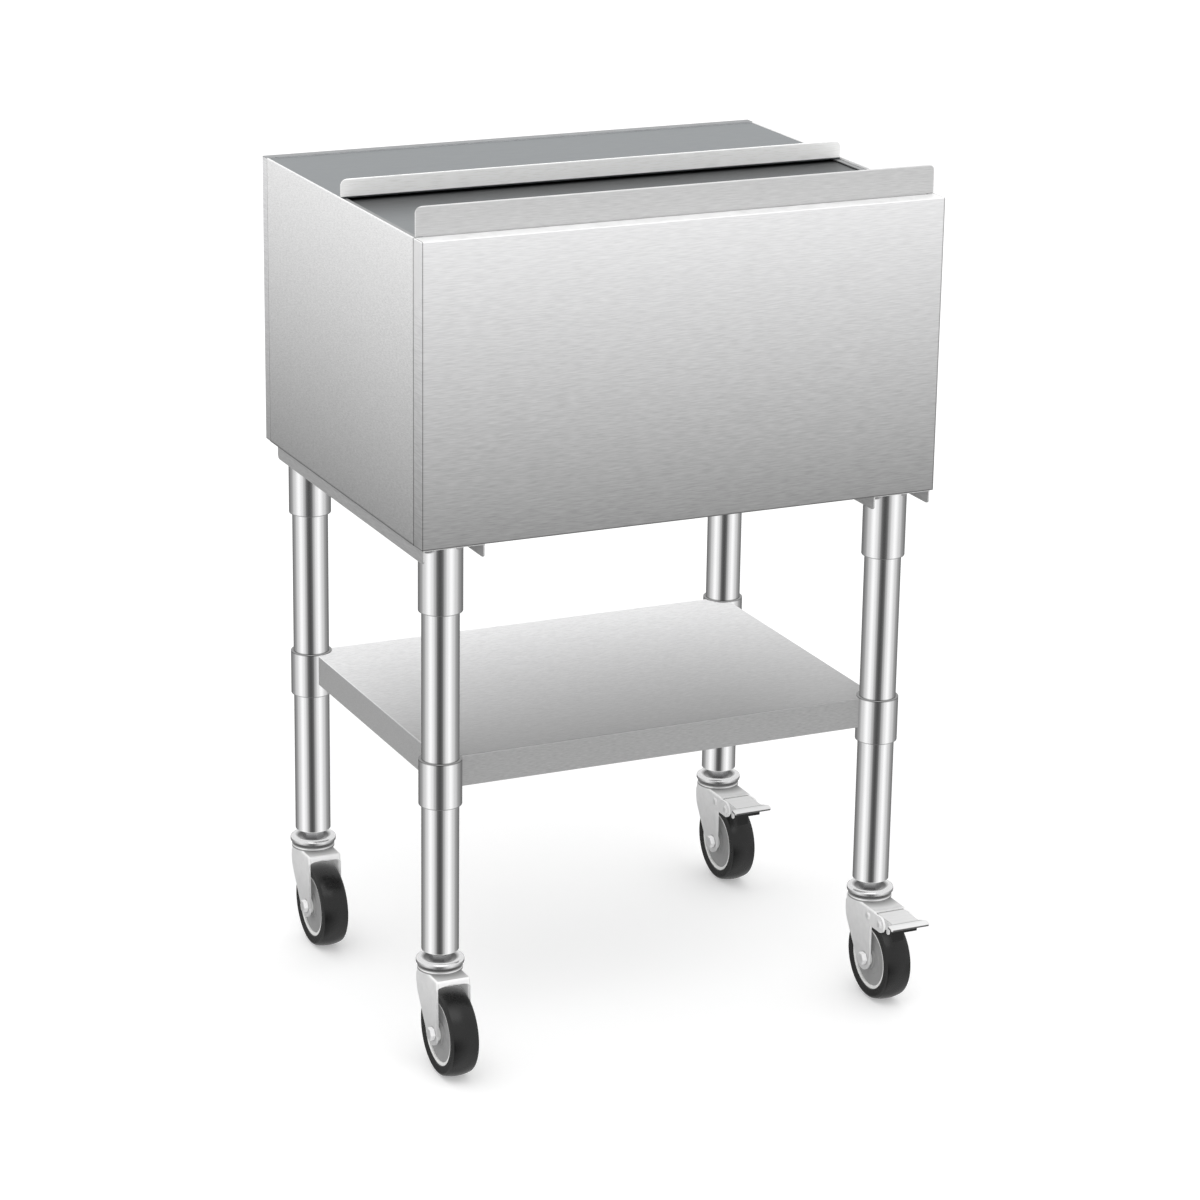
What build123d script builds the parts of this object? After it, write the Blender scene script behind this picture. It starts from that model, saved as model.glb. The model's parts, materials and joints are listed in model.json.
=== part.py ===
from build123d import *
import os

os.makedirs("parts", exist_ok=True)

# A mobile ice bin: an insulated bin with two sliding lids on a four-legged
# stand with an undershelf and swivel casters. Sizes are in millimetres, +Z is
# up, the front faces -Y and the origin is on the floor under the bin's middle.

# Bin shell
bin_width = 612.0
bin_depth = 475.0
bin_height = 330.0
shell_sheet = 1.2
shell_bend = 1.0
front_return = 22.5
back_return = 14.0
panel_seam = 0.5
hem_depth = 12.0
base_flange = 16.0

# Ice tub and the foam round it
tub_sheet = 1.0
wall_foam = 30.0
floor_foam = 30.0
tub_corner = 25.0
tub_floor_bend = 12.0

# Lids and the rails that carry them
lid_sheet = 1.2
lid_slide_gap = 0.4
lid_side_gap = 0.6
lid_front_gap = 0.6
lid_back_gap = 1.0
lid_overlap = 20.0
rear_lid_recess = 0.8
rear_lid_length = 222.5
front_handle_rise = 32.0
rear_handle_rise = 18.5
handle_corner = 7.0
handle_hem = 10.0
handle_side_inset = 2.0
handle_lift = 0.5
rail_sheet = 1.2
rail_ledge = 8.0
rail_foot = 14.0
rail_end_gap = 0.5

# Drain through the floor of the tub
drain_bore = 25.0
drain_tail = 33.0
drain_tail_drop = 16.0
drain_spigot = 28.0
drain_spigot_length = 32.0
drain_clearance = 0.5
drain_flange = 60.0
drain_flange_sheet = 2.0
drain_gasket_sheet = 1.5
drain_nut_flats = 46.0
drain_nut_height = 8.0
strainer_sheet = 1.5
strainer_hole = 6.0
strainer_hole_circle = 16.0
strainer_hole_count = 6

# Stand
leg_side_inset = 38.0
leg_end_inset = 40.5
leg_diameter = 41.3
leg_wall = 1.2
leg_edge = 1.0
leg_drop = 471.0
leg_fit = 0.15
channel_width = 70.0
channel_height = 16.0
channel_sheet = 1.5
channel_front_inset = 3.0
channel_back_inset = 31.0
channel_corner = 5.0
socket_diameter = 48.5
socket_drop = 81.0
socket_edge = 2.5
shelf_rise = 221.0
shelf_sheet = 1.2
shelf_flange = 35.0
shelf_bend = 1.5
collar_diameter = 47.6
collar_height = 52.0
collar_stand = 1.0
collar_edge = 2.5
set_screw_diameter = 6.0
set_screw_stand = 2.0
socket_screw_rise = 21.0
collar_screw_rise = 8.0
insert_length = 40.0

# Caster stem and swivel race
stem_diameter = 12.0
stem_top_gap = 2.0
stem_hex_flats = 21.5
stem_hex_height = 7.0
stem_fit = 0.06
rivet_diameter = 18.0
rivet_height = 3.0
rivet_gap = 0.4
race_diameter = 50.0
race_height = 4.5
race_edge = 1.5
swivel_gap = 1.5
cap_diameter = 53.5
cap_height = 7.0
cap_floor = 4.0
cap_dish = 26.0
cap_foot_inset = 1.25
cap_waist_rise = 3.0
cap_ridge_inset = 4.5
foot_gap = 9.0

# Caster fork
wheel_diameter = 100.0
caster_trail = 28.0
crown_clearance = 12.5
crown_back = 20.0
crown_skirt = 27.0
crown_bend = 3.0
fork_sheet = 2.5
lip_drop = 5.5
lip_arch = 2.5
arm_end_radius = 15.0
arm_end_setback = 4.0
arm_back_round = 30.0

# Caster wheel
wheel_width = 32.0
wheel_side_gap = 1.5
axle_diameter = 8.0
axle_hex_flats = 13.0
axle_head = 5.3
axle_nut = 6.5
axle_tip = 1.5
axle_hole_gap = 0.1
sleeve_wall = 2.4
sleeve_fit = 0.06
hub_diameter = 18.0
hub_end_gap = 0.5
web_sheet = 5.0
rim_inset = 2.0
rim_thickness = 3.5
rim_shoulder = 2.0
cover_sheet = 1.5
cover_recess = 2.0
cover_gap = 0.1
cover_boss = 27.0
cover_boss_rise = 2.5
bead_inset = 1.0
tyre_thickness = 13.0
tyre_shoulder_drop = 2.8
tyre_shoulder_round = 3.5

# Brake of the two right-hand casters
brake_crown_reach = 8.8
ear_radius = 9.5
ear_neck = 18.0
pivot_reach = 13.2
pivot_drop = 11.0
pivot_diameter = 6.0
pivot_fit = 0.05
spring_pin_setback = 5.4
spring_pin_drop = 10.5
spring_pin_diameter = 5.0
pin_head_diameter = 10.0
pin_head_height = 1.6
pedal_sheet = 2.0
pedal_lift = 7.5
pedal_crown_gap = 1.2
pedal_length = 49.0
pedal_width = 50.0
pedal_lip = 11.0
pedal_lip_fall = 2.0
pedal_flare = 4.0
pedal_corner = 3.0
cheek_gap = 0.5
cheek_eye = 7.0
cheek_reach = 17.5
cheek_depth = 6.5
foot_reach = 13.5
foot_drop = 12.6
foot_radius = 2.5
pad_side_gap = 0.3
pad_pin_gap = 1.0
pad_reach = 25.0
pad_depth = 7.5
pad_tip_length = 6.0
pad_tip_depth = 10.5
shoe_width = 14.0
shoe_length = 5.0
shoe_gap = 4.0

# Levels from the floor up
axle_z = wheel_diameter / 2
crown_under = wheel_diameter + crown_clearance
crown_top = crown_under + fork_sheet
race_top = crown_top + race_height
cap_bottom = race_top + swivel_gap
cap_floor_z = cap_bottom + cap_floor
cap_top = cap_bottom + cap_height
leg_foot = cap_top + foot_gap
bin_underside = leg_foot + leg_drop
rim = bin_underside + bin_height
shelf_top = leg_foot + shelf_rise
shelf_under = shelf_top - shelf_flange
collar_top = shelf_top + collar_stand
collar_bottom = collar_top - collar_height
socket_bottom = bin_underside - socket_drop
web_under = bin_underside - channel_sheet

# Levels of the lids and rails, from the rim down
rear_lid_z = rim - rear_lid_recess - lid_sheet
upper_ledge_z = rear_lid_z - lid_slide_gap - rail_sheet
front_lid_z = upper_ledge_z - lid_slide_gap - lid_sheet
lower_ledge_z = front_lid_z - lid_slide_gap - rail_sheet
tub_top = lower_ledge_z
tub_bottom = bin_underside + shell_sheet + floor_foam
tub_floor = tub_bottom + tub_sheet

# Half sizes shared by the shell, the tub and the lids
half_width = bin_width / 2
half_depth = bin_depth / 2
inner_half_width = half_width - shell_sheet
inner_half_depth = half_depth - shell_sheet
hem_half_width = half_width - 2 * shell_sheet
tub_half_x = inner_half_width - wall_foam
tub_half_y = inner_half_depth - wall_foam
bin_middle_z = bin_underside + bin_height / 2
side_front = -half_depth + front_return + panel_seam
side_back = half_depth - back_return - panel_seam
side_length = side_back - side_front
wall_round = min(shell_bend, 0.9 * shell_sheet)

# Front panel: a shallow folded pan, open towards the tub
with BuildPart() as front_panel:
    with BuildSketch(Plane.XZ.offset(half_depth)):
        with Locations((0, bin_middle_z)):
            Rectangle(bin_width, bin_height)
    extrude(amount=-front_return)
    front_edges = front_panel.faces().sort_by(Axis.Y)[0].edges()
    fillet(front_edges + front_panel.edges().filter_by(Axis.Y), shell_bend)
    with BuildSketch(Plane.XZ.offset(inner_half_depth)):
        with Locations((0, bin_middle_z)):
            Rectangle(2 * inner_half_width, bin_height - 2 * shell_sheet)
    extrude(amount=-front_return, mode=Mode.SUBTRACT)
front_panel.part.label = "front_panel"
export_step(front_panel.part, "parts/front_panel.step")

# Back panel: the same pan with a narrower return
with BuildPart() as back_panel:
    with BuildSketch(Plane.XZ.offset(-half_depth)):
        with Locations((0, bin_middle_z)):
            Rectangle(bin_width, bin_height)
    extrude(amount=back_return)
    back_edges = back_panel.faces().sort_by(Axis.Y)[-1].edges()
    fillet(back_edges + back_panel.edges().filter_by(Axis.Y), shell_bend)
    with BuildSketch(Plane.XZ.offset(-inner_half_depth)):
        with Locations((0, bin_middle_z)):
            Rectangle(2 * inner_half_width, bin_height - 2 * shell_sheet)
    extrude(amount=back_return, mode=Mode.SUBTRACT)
back_panel.part.label = "back_panel"
export_step(back_panel.part, "parts/back_panel.step")

# Side panels: flat sheets between the pans, folded over once along the rim
with BuildPart() as right_side_panel:
    with BuildSketch(Plane.XZ.offset(-side_back)) as side_profile:
        with Locations((half_width, bin_underside)):
            Rectangle(shell_sheet, bin_height, align=(Align.MAX, Align.MIN))
        with Locations((half_width, rim)):
            Rectangle(2 * shell_sheet, hem_depth, align=(Align.MAX, Align.MAX))
        fillet(side_profile.vertices().group_by(Axis.Y)[-1], wall_round)
    extrude(amount=side_length)
right_side_panel.part.label = "right_side_panel"
export_step(right_side_panel.part, "parts/right_side_panel.step")

with BuildPart() as left_side_panel:
    mirror(right_side_panel.part, about=Plane.YZ)
left_side_panel.part.label = "left_side_panel"
export_step(left_side_panel.part, "parts/left_side_panel.step")

# Base panel: the underside sheet, turned up along both sides
drain_hole = drain_tail / 2 + drain_clearance
with BuildPart() as base_panel:
    with BuildSketch(Plane.XZ.offset(-side_back)):
        with Locations((0, bin_underside)):
            Rectangle(2 * inner_half_width, shell_sheet, align=(Align.CENTER, Align.MIN))
        with Locations((inner_half_width, bin_underside)):
            Rectangle(shell_sheet, base_flange, align=(Align.MAX, Align.MIN))
        with Locations((-inner_half_width, bin_underside)):
            Rectangle(shell_sheet, base_flange, align=(Align.MIN, Align.MIN))
    extrude(amount=side_length)
    with BuildSketch(Plane.XY.offset(bin_underside)):
        Circle(drain_hole)
    extrude(amount=shell_sheet, mode=Mode.SUBTRACT)
base_panel.part.label = "base_panel"
export_step(base_panel.part, "parts/base_panel.step")

# Outer form of the tub, used for the tub and for the hollow in the foam
with BuildPart() as tub_block:
    with BuildSketch(Plane.XY.offset(tub_bottom)):
        RectangleRounded(2 * tub_half_x, 2 * tub_half_y, tub_corner)
    extrude(amount=tub_top - tub_bottom)
    fillet(tub_block.faces().sort_by(Axis.Z)[0].edges(), tub_floor_bend)

# Ice tub: a thin tank whose flange lies under the rails
with BuildPart() as ice_tub:
    add(tub_block.part)
    offset(amount=-tub_sheet, openings=ice_tub.faces().sort_by(Axis.Z)[-1])
    with BuildSketch(Plane.XY.offset(tub_top - tub_sheet)):
        Rectangle(2 * hem_half_width, 2 * inner_half_depth)
        RectangleRounded(2 * tub_half_x, 2 * tub_half_y, tub_corner, mode=Mode.SUBTRACT)
    extrude(amount=tub_sheet)
    with BuildSketch(Plane.XY.offset(tub_bottom)):
        Circle(drain_hole)
    extrude(amount=tub_sheet, mode=Mode.SUBTRACT)
ice_tub.part.label = "ice_tub"
export_step(ice_tub.part, "parts/ice_tub.step")

# Foam: fills the space between the tub and the shell
with BuildPart() as foam_insulation:
    with BuildSketch(Plane.XZ.offset(-inner_half_depth)):
        with Locations((0, bin_underside + shell_sheet)):
            Rectangle(
                2 * hem_half_width,
                tub_top - tub_sheet - bin_underside - shell_sheet,
                align=(Align.CENTER, Align.MIN),
            )
        with Locations((0, bin_underside + base_flange)):
            Rectangle(
                2 * inner_half_width,
                rim - hem_depth - bin_underside - base_flange,
                align=(Align.CENTER, Align.MIN),
            )
    extrude(amount=2 * inner_half_depth)
    add(tub_block.part, mode=Mode.SUBTRACT)
    with BuildSketch(Plane.XY.offset(bin_underside)):
        Circle(drain_hole)
    extrude(amount=tub_floor - bin_underside, mode=Mode.SUBTRACT)
foam_insulation.part.label = "foam_insulation"
export_step(foam_insulation.part, "parts/foam_insulation.step")

# Lid rails: the rear lid runs on the upper ledge, the front lid on the lower
rail_half_length = inner_half_depth - rail_end_gap
with BuildPart() as right_lid_rail:
    with BuildSketch(Plane.XZ.offset(-rail_half_length)):
        with Locations((hem_half_width, lower_ledge_z)):
            Rectangle(rail_foot, rail_sheet, align=(Align.MAX, Align.MIN))
            Rectangle(
                rail_sheet,
                upper_ledge_z + rail_sheet - lower_ledge_z,
                align=(Align.MAX, Align.MIN),
            )
        with Locations((hem_half_width, upper_ledge_z)):
            Rectangle(rail_ledge, rail_sheet, align=(Align.MAX, Align.MIN))
    extrude(amount=2 * rail_half_length)
right_lid_rail.part.label = "right_lid_rail"
export_step(right_lid_rail.part, "parts/right_lid_rail.step")

with BuildPart() as left_lid_rail:
    mirror(right_lid_rail.part, about=Plane.YZ)
left_lid_rail.part.label = "left_lid_rail"
export_step(left_lid_rail.part, "parts/left_lid_rail.step")

# Front lid: slides between the ledges; its tall handle has a narrow neck that
# passes between the upper ledges and widens over the rim
rear_lid_back = half_depth - back_return - lid_back_gap
rear_handle_y = rear_lid_back - rear_lid_length
front_handle_y = -half_depth + front_return + lid_front_gap
front_lid_back = rear_handle_y + lid_overlap
front_lid_half = hem_half_width - rail_sheet - lid_side_gap
front_neck_half = hem_half_width - rail_ledge - lid_side_gap
front_handle_half = half_width - handle_side_inset
front_handle_top = rim + front_handle_rise
with BuildPart() as front_lid:
    with BuildSketch(Plane.XY.offset(front_lid_z)):
        with Locations((0, front_handle_y)):
            Rectangle(
                2 * front_lid_half,
                front_lid_back - front_handle_y,
                align=(Align.CENTER, Align.MIN),
            )
    extrude(amount=lid_sheet)
    with BuildSketch(Plane.XZ.offset(-front_handle_y)) as front_handle:
        with Locations((0, front_handle_top)):
            Rectangle(
                2 * front_handle_half,
                front_handle_rise - handle_lift,
                align=(Align.CENTER, Align.MAX),
            )
        fillet(front_handle.vertices().group_by(Axis.Y)[-1], handle_corner)
        with Locations((0, front_lid_z)):
            Rectangle(
                2 * front_neck_half,
                rim + handle_lift - front_lid_z,
                align=(Align.CENTER, Align.MIN),
            )
    extrude(amount=-lid_sheet)
    with BuildSketch(Plane.XZ.offset(-front_handle_y - lid_sheet)):
        with Locations((0, front_handle_top)):
            Rectangle(
                2 * (front_handle_half - handle_corner),
                handle_hem,
                align=(Align.CENTER, Align.MAX),
            )
    extrude(amount=-lid_sheet)
front_lid.part.label = "front_lid"
export_step(front_lid.part, "parts/front_lid.step")

# Rear lid: slides on the upper ledges and over the front lid
rear_lid_half = hem_half_width - lid_side_gap
rear_handle_top = rim + rear_handle_rise
with BuildPart() as rear_lid:
    with BuildSketch(Plane.XY.offset(rear_lid_z)):
        with Locations((0, rear_handle_y)):
            Rectangle(
                2 * rear_lid_half,
                rear_lid_back - rear_handle_y,
                align=(Align.CENTER, Align.MIN),
            )
    extrude(amount=lid_sheet)
    with BuildSketch(Plane.XZ.offset(-rear_handle_y)) as rear_handle:
        with Locations((0, rear_handle_top)):
            Rectangle(
                2 * rear_lid_half,
                rear_handle_top - rear_lid_z,
                align=(Align.CENTER, Align.MAX),
            )
        fillet(rear_handle.vertices().group_by(Axis.Y)[-1], handle_corner)
    extrude(amount=-lid_sheet)
    with BuildSketch(Plane.XZ.offset(-rear_handle_y - lid_sheet)):
        with Locations((0, rear_handle_top)):
            Rectangle(
                2 * (rear_lid_half - handle_corner),
                handle_hem,
                align=(Align.CENTER, Align.MAX),
            )
    extrude(amount=-lid_sheet)
rear_lid.part.label = "rear_lid"
export_step(rear_lid.part, "parts/rear_lid.step")

# Drain: a flanged tube on a gasket, drawn down by a nut under the bin; a hose
# goes on the spigot below
drain_flange_z = tub_floor + drain_gasket_sheet
drain_flange_top = drain_flange_z + drain_flange_sheet
drain_tail_end = bin_underside - drain_tail_drop
drain_spigot_end = drain_tail_end - drain_spigot_length
with BuildPart() as drain_gasket:
    with BuildSketch(Plane.XY.offset(tub_floor)):
        Circle(drain_flange / 2)
        Circle(drain_hole, mode=Mode.SUBTRACT)
    extrude(amount=drain_gasket_sheet)
drain_gasket.part.label = "drain_gasket"
export_step(drain_gasket.part, "parts/drain_gasket.step")

with BuildPart() as drain_body:
    with BuildSketch(Plane.XY.offset(drain_flange_z)):
        Circle(drain_flange / 2)
    extrude(amount=drain_flange_sheet)
    with BuildSketch(Plane.XY.offset(drain_tail_end)):
        Circle(drain_tail / 2)
    extrude(amount=drain_flange_z - drain_tail_end)
    with BuildSketch(Plane.XY.offset(drain_spigot_end)):
        Circle(drain_spigot / 2)
    extrude(amount=drain_spigot_length)
    with BuildSketch(Plane.XY.offset(drain_spigot_end)):
        Circle(drain_bore / 2)
    extrude(amount=drain_flange_top - drain_spigot_end, mode=Mode.SUBTRACT)
drain_body.part.label = "drain_body"
export_step(drain_body.part, "parts/drain_body.step")

with BuildPart() as drain_strainer:
    with BuildSketch(Plane.XY.offset(drain_flange_top)):
        Circle(drain_flange / 2)
        Circle(strainer_hole / 2, mode=Mode.SUBTRACT)
        with PolarLocations(strainer_hole_circle / 2, strainer_hole_count):
            Circle(strainer_hole / 2, mode=Mode.SUBTRACT)
    extrude(amount=strainer_sheet)
drain_strainer.part.label = "drain_strainer"
export_step(drain_strainer.part, "parts/drain_strainer.step")

with BuildPart() as drain_nut:
    with BuildSketch(Plane.XY.offset(bin_underside - drain_nut_height)):
        RegularPolygon(drain_nut_flats / 2, 6, major_radius=False)
        Circle(drain_tail / 2, mode=Mode.SUBTRACT)
    extrude(amount=drain_nut_height)
drain_nut.part.label = "drain_nut"
export_step(drain_nut.part, "parts/drain_nut.step")

# Stand: one channel under each side of the bin, open downwards
leg_x = half_width - leg_side_inset
leg_y = half_depth - leg_end_inset
leg_points = [(-leg_x, -leg_y), (-leg_x, leg_y), (leg_x, -leg_y), (leg_x, leg_y)]
leg_names = ["front_left", "rear_left", "front_right", "rear_right"]
channel_front = -half_depth + channel_front_inset
channel_back = half_depth - channel_back_inset
with BuildPart() as right_channel:
    with BuildSketch(Plane.XZ.offset(-channel_back)):
        with Locations((leg_x, bin_underside)):
            Rectangle(channel_width, channel_height, align=(Align.CENTER, Align.MAX))
        with Locations((leg_x, web_under)):
            Rectangle(
                channel_width - 2 * channel_sheet,
                channel_height,
                align=(Align.CENTER, Align.MAX),
                mode=Mode.SUBTRACT,
            )
    extrude(amount=channel_back - channel_front)
    fillet(right_channel.edges().filter_by(Axis.X).group_by(Axis.Z)[0], channel_corner)
right_channel.part.label = "right_channel"
export_step(right_channel.part, "parts/right_channel.step")

with BuildPart() as left_channel:
    mirror(right_channel.part, about=Plane.YZ)
left_channel.part.label = "left_channel"
export_step(left_channel.part, "parts/left_channel.step")

# Leg sockets: cups welded into the channels, each with a set screw behind
leg_radius = leg_diameter / 2
screw_radius = set_screw_diameter / 2
socket_radius = socket_diameter / 2
socket_screw_z = socket_bottom + socket_screw_rise
with BuildPart() as leg_sockets:
    with BuildSketch(Plane.XY.offset(socket_bottom)):
        with Locations(*leg_points):
            Circle(socket_radius)
    extrude(amount=web_under - socket_bottom)
    fillet(leg_sockets.edges().group_by(Axis.Z)[0], socket_edge)
    with BuildSketch(Plane.XY.offset(socket_bottom)):
        with Locations(*leg_points):
            Circle(leg_radius + leg_fit)
    extrude(amount=web_under - socket_bottom, mode=Mode.SUBTRACT)
    for x, y in leg_points:
        with BuildSketch(Plane.XZ.offset(-y)):
            with Locations((x, socket_screw_z)):
                Circle(screw_radius)
        extrude(amount=-socket_radius, mode=Mode.SUBTRACT)
leg_sockets.part.label = "leg_sockets"
export_step(leg_sockets.part, "parts/leg_sockets.step")

# Legs: plain tubes from the channel web down to the casters
for name, (x, y) in zip(leg_names, leg_points):
    with BuildPart() as leg:
        with BuildSketch(Plane.XY.offset(leg_foot)):
            with Locations((x, y)):
                Circle(leg_radius)
        extrude(amount=web_under - leg_foot)
        fillet(leg.edges().group_by(Axis.Z)[0], min(leg_edge, 0.9 * leg_wall))
        with BuildSketch(Plane.XY.offset(leg_foot)):
            with Locations((x, y)):
                Circle(leg_radius - leg_wall)
        extrude(amount=web_under - leg_foot, mode=Mode.SUBTRACT)
    leg.part.label = name + "_leg"
    export_step(leg.part, "parts/" + name + "_leg.step")

# Undershelf: a sheet with down-turned edges that runs from leg to leg, its
# corners cut round the collars
collar_radius = collar_diameter / 2
with BuildPart() as undershelf:
    with BuildSketch(Plane.XY.offset(shelf_under)):
        Rectangle(2 * leg_x, 2 * leg_y)
    extrude(amount=shelf_flange)
    fillet(undershelf.faces().sort_by(Axis.Z)[-1].edges(), shelf_bend)
    with BuildSketch(Plane.XY.offset(shelf_under)):
        Rectangle(2 * (leg_x - shelf_sheet), 2 * (leg_y - shelf_sheet))
    extrude(amount=shelf_flange - shelf_sheet, mode=Mode.SUBTRACT)
    with BuildSketch(Plane.XY.offset(shelf_under)):
        with Locations(*leg_points):
            Circle(collar_radius)
    extrude(amount=shelf_flange, mode=Mode.SUBTRACT)
undershelf.part.label = "undershelf"
export_step(undershelf.part, "parts/undershelf.step")

# Shelf collars: sleeves welded into the shelf's corners, each with a set screw
collar_screw_z = collar_bottom + collar_screw_rise
with BuildPart() as shelf_collars:
    with BuildSketch(Plane.XY.offset(collar_bottom)):
        with Locations(*leg_points):
            Circle(collar_radius)
    extrude(amount=collar_height)
    fillet(shelf_collars.edges().group_by(Axis.Z)[0], collar_edge)
    with BuildSketch(Plane.XY.offset(collar_bottom)):
        with Locations(*leg_points):
            Circle(leg_radius + leg_fit)
    extrude(amount=collar_height, mode=Mode.SUBTRACT)
    for x, y in leg_points:
        with BuildSketch(Plane.XZ.offset(-y)):
            with Locations((x, collar_screw_z)):
                Circle(screw_radius)
        extrude(amount=-collar_radius, mode=Mode.SUBTRACT)
shelf_collars.part.label = "shelf_collars"
export_step(shelf_collars.part, "parts/shelf_collars.step")

# Set screws: eight short screws that bear on the legs
with BuildPart() as set_screws:
    for x, y in leg_points:
        with BuildSketch(Plane.XZ.offset(-y - leg_radius)):
            with Locations((x, socket_screw_z)):
                Circle(screw_radius)
        extrude(amount=leg_radius - socket_radius - set_screw_stand)
        with BuildSketch(Plane.XZ.offset(-y - leg_radius)):
            with Locations((x, collar_screw_z)):
                Circle(screw_radius)
        extrude(amount=leg_radius - collar_radius - set_screw_stand)
set_screws.part.label = "set_screws"
export_step(set_screws.part, "parts/set_screws.step")

# Leg inserts: plugs in the lower leg ends that take the caster stems
with BuildPart() as leg_inserts:
    with BuildSketch(Plane.XY.offset(leg_foot)):
        with Locations(*leg_points):
            Circle(leg_radius - leg_wall)
            Circle(stem_diameter / 2, mode=Mode.SUBTRACT)
    extrude(amount=insert_length)
leg_inserts.part.label = "leg_inserts"
export_step(leg_inserts.part, "parts/leg_inserts.step")

# Caster stems: a stud with a hexagon above the cap and a rivet head below
stem_radius = stem_diameter / 2
rivet_top = crown_under - rivet_gap
stem_top = leg_foot + insert_length - stem_top_gap
with BuildPart() as caster_stems:
    with BuildSketch(Plane.XY.offset(rivet_top - rivet_height)):
        with Locations(*leg_points):
            Circle(rivet_diameter / 2)
    extrude(amount=rivet_height)
    with BuildSketch(Plane.XY.offset(rivet_top)):
        with Locations(*leg_points):
            Circle(stem_radius)
    extrude(amount=stem_top - rivet_top)
    with BuildSketch(Plane.XY.offset(cap_floor_z)):
        with Locations(*leg_points):
            RegularPolygon(stem_hex_flats / 2, 6, major_radius=False)
    extrude(amount=stem_hex_height)
caster_stems.part.label = "caster_stems"
export_step(caster_stems.part, "parts/caster_stems.step")

# Race caps: dished rings held under the hexagons
cap_radius = cap_diameter / 2
cap_foot_point = (cap_radius - cap_foot_inset, cap_bottom)
cap_ridge_point = (cap_radius - cap_ridge_inset, cap_top)
with BuildPart() as race_caps:
    for x, y in leg_points:
        with BuildSketch(Plane(origin=(x, y, 0), x_dir=(1, 0, 0), z_dir=(0, -1, 0))):
            with BuildLine():
                Polyline(
                    cap_ridge_point,
                    (cap_dish / 2, cap_floor_z),
                    (stem_radius, cap_floor_z),
                    (stem_radius, cap_bottom),
                    cap_foot_point,
                )
                ThreePointArc(
                    cap_foot_point,
                    (cap_radius, cap_bottom + cap_waist_rise),
                    cap_ridge_point,
                )
            make_face()
        revolve(axis=Axis((x, y, 0), (0, 0, 1)))
race_caps.part.label = "race_caps"
export_step(race_caps.part, "parts/race_caps.step")

# Casters: all four trail towards the front; the right-hand ones have brakes
wheel_radius = wheel_diameter / 2
fork_gap = wheel_width + 2 * wheel_side_gap
fork_half_gap = fork_gap / 2
fork_half = fork_half_gap + fork_sheet
axle_radius = axle_diameter / 2
sleeve_bore = axle_radius + axle_hole_gap
sleeve_radius = sleeve_bore + sleeve_wall
core_bore = sleeve_radius + sleeve_fit
hub_radius = hub_diameter / 2
hub_half = fork_half_gap - hub_end_gap
rim_out = wheel_radius - tyre_thickness
rim_in = rim_out - rim_thickness
rim_half = wheel_width / 2 - rim_inset
cover_seat = rim_half - cover_recess - cover_sheet
bead_half = wheel_width / 2 - bead_inset
shoulder_radius = wheel_radius - tyre_shoulder_drop
lip_z = crown_under - lip_drop
crown_front = caster_trail - arm_end_setback + arm_end_radius

# Places on the brake, forwards of the stem and up from the floor
brake_crown_front = crown_front + brake_crown_reach
pivot_forward = brake_crown_front + pivot_reach
pivot_z = crown_top - pivot_drop
pin_radius = pivot_diameter / 2
spring_pin_forward = crown_front - spring_pin_setback
spring_pin_z = crown_top - spring_pin_drop
spring_pin_radius = spring_pin_diameter / 2
pedal_under = pivot_z + pedal_lift
pedal_back = brake_crown_front + pedal_crown_gap
pedal_front = pedal_back + pedal_length
pedal_crease = pedal_front - pedal_lip
cheek_out = fork_half_gap - cheek_gap
cheek_in = cheek_out - pedal_sheet
cheek_back = pivot_forward - cheek_eye
foot_forward = pivot_forward + foot_reach
pad_back = pivot_forward + pin_radius + pad_pin_gap
pad_front = pivot_forward + pad_reach

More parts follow.
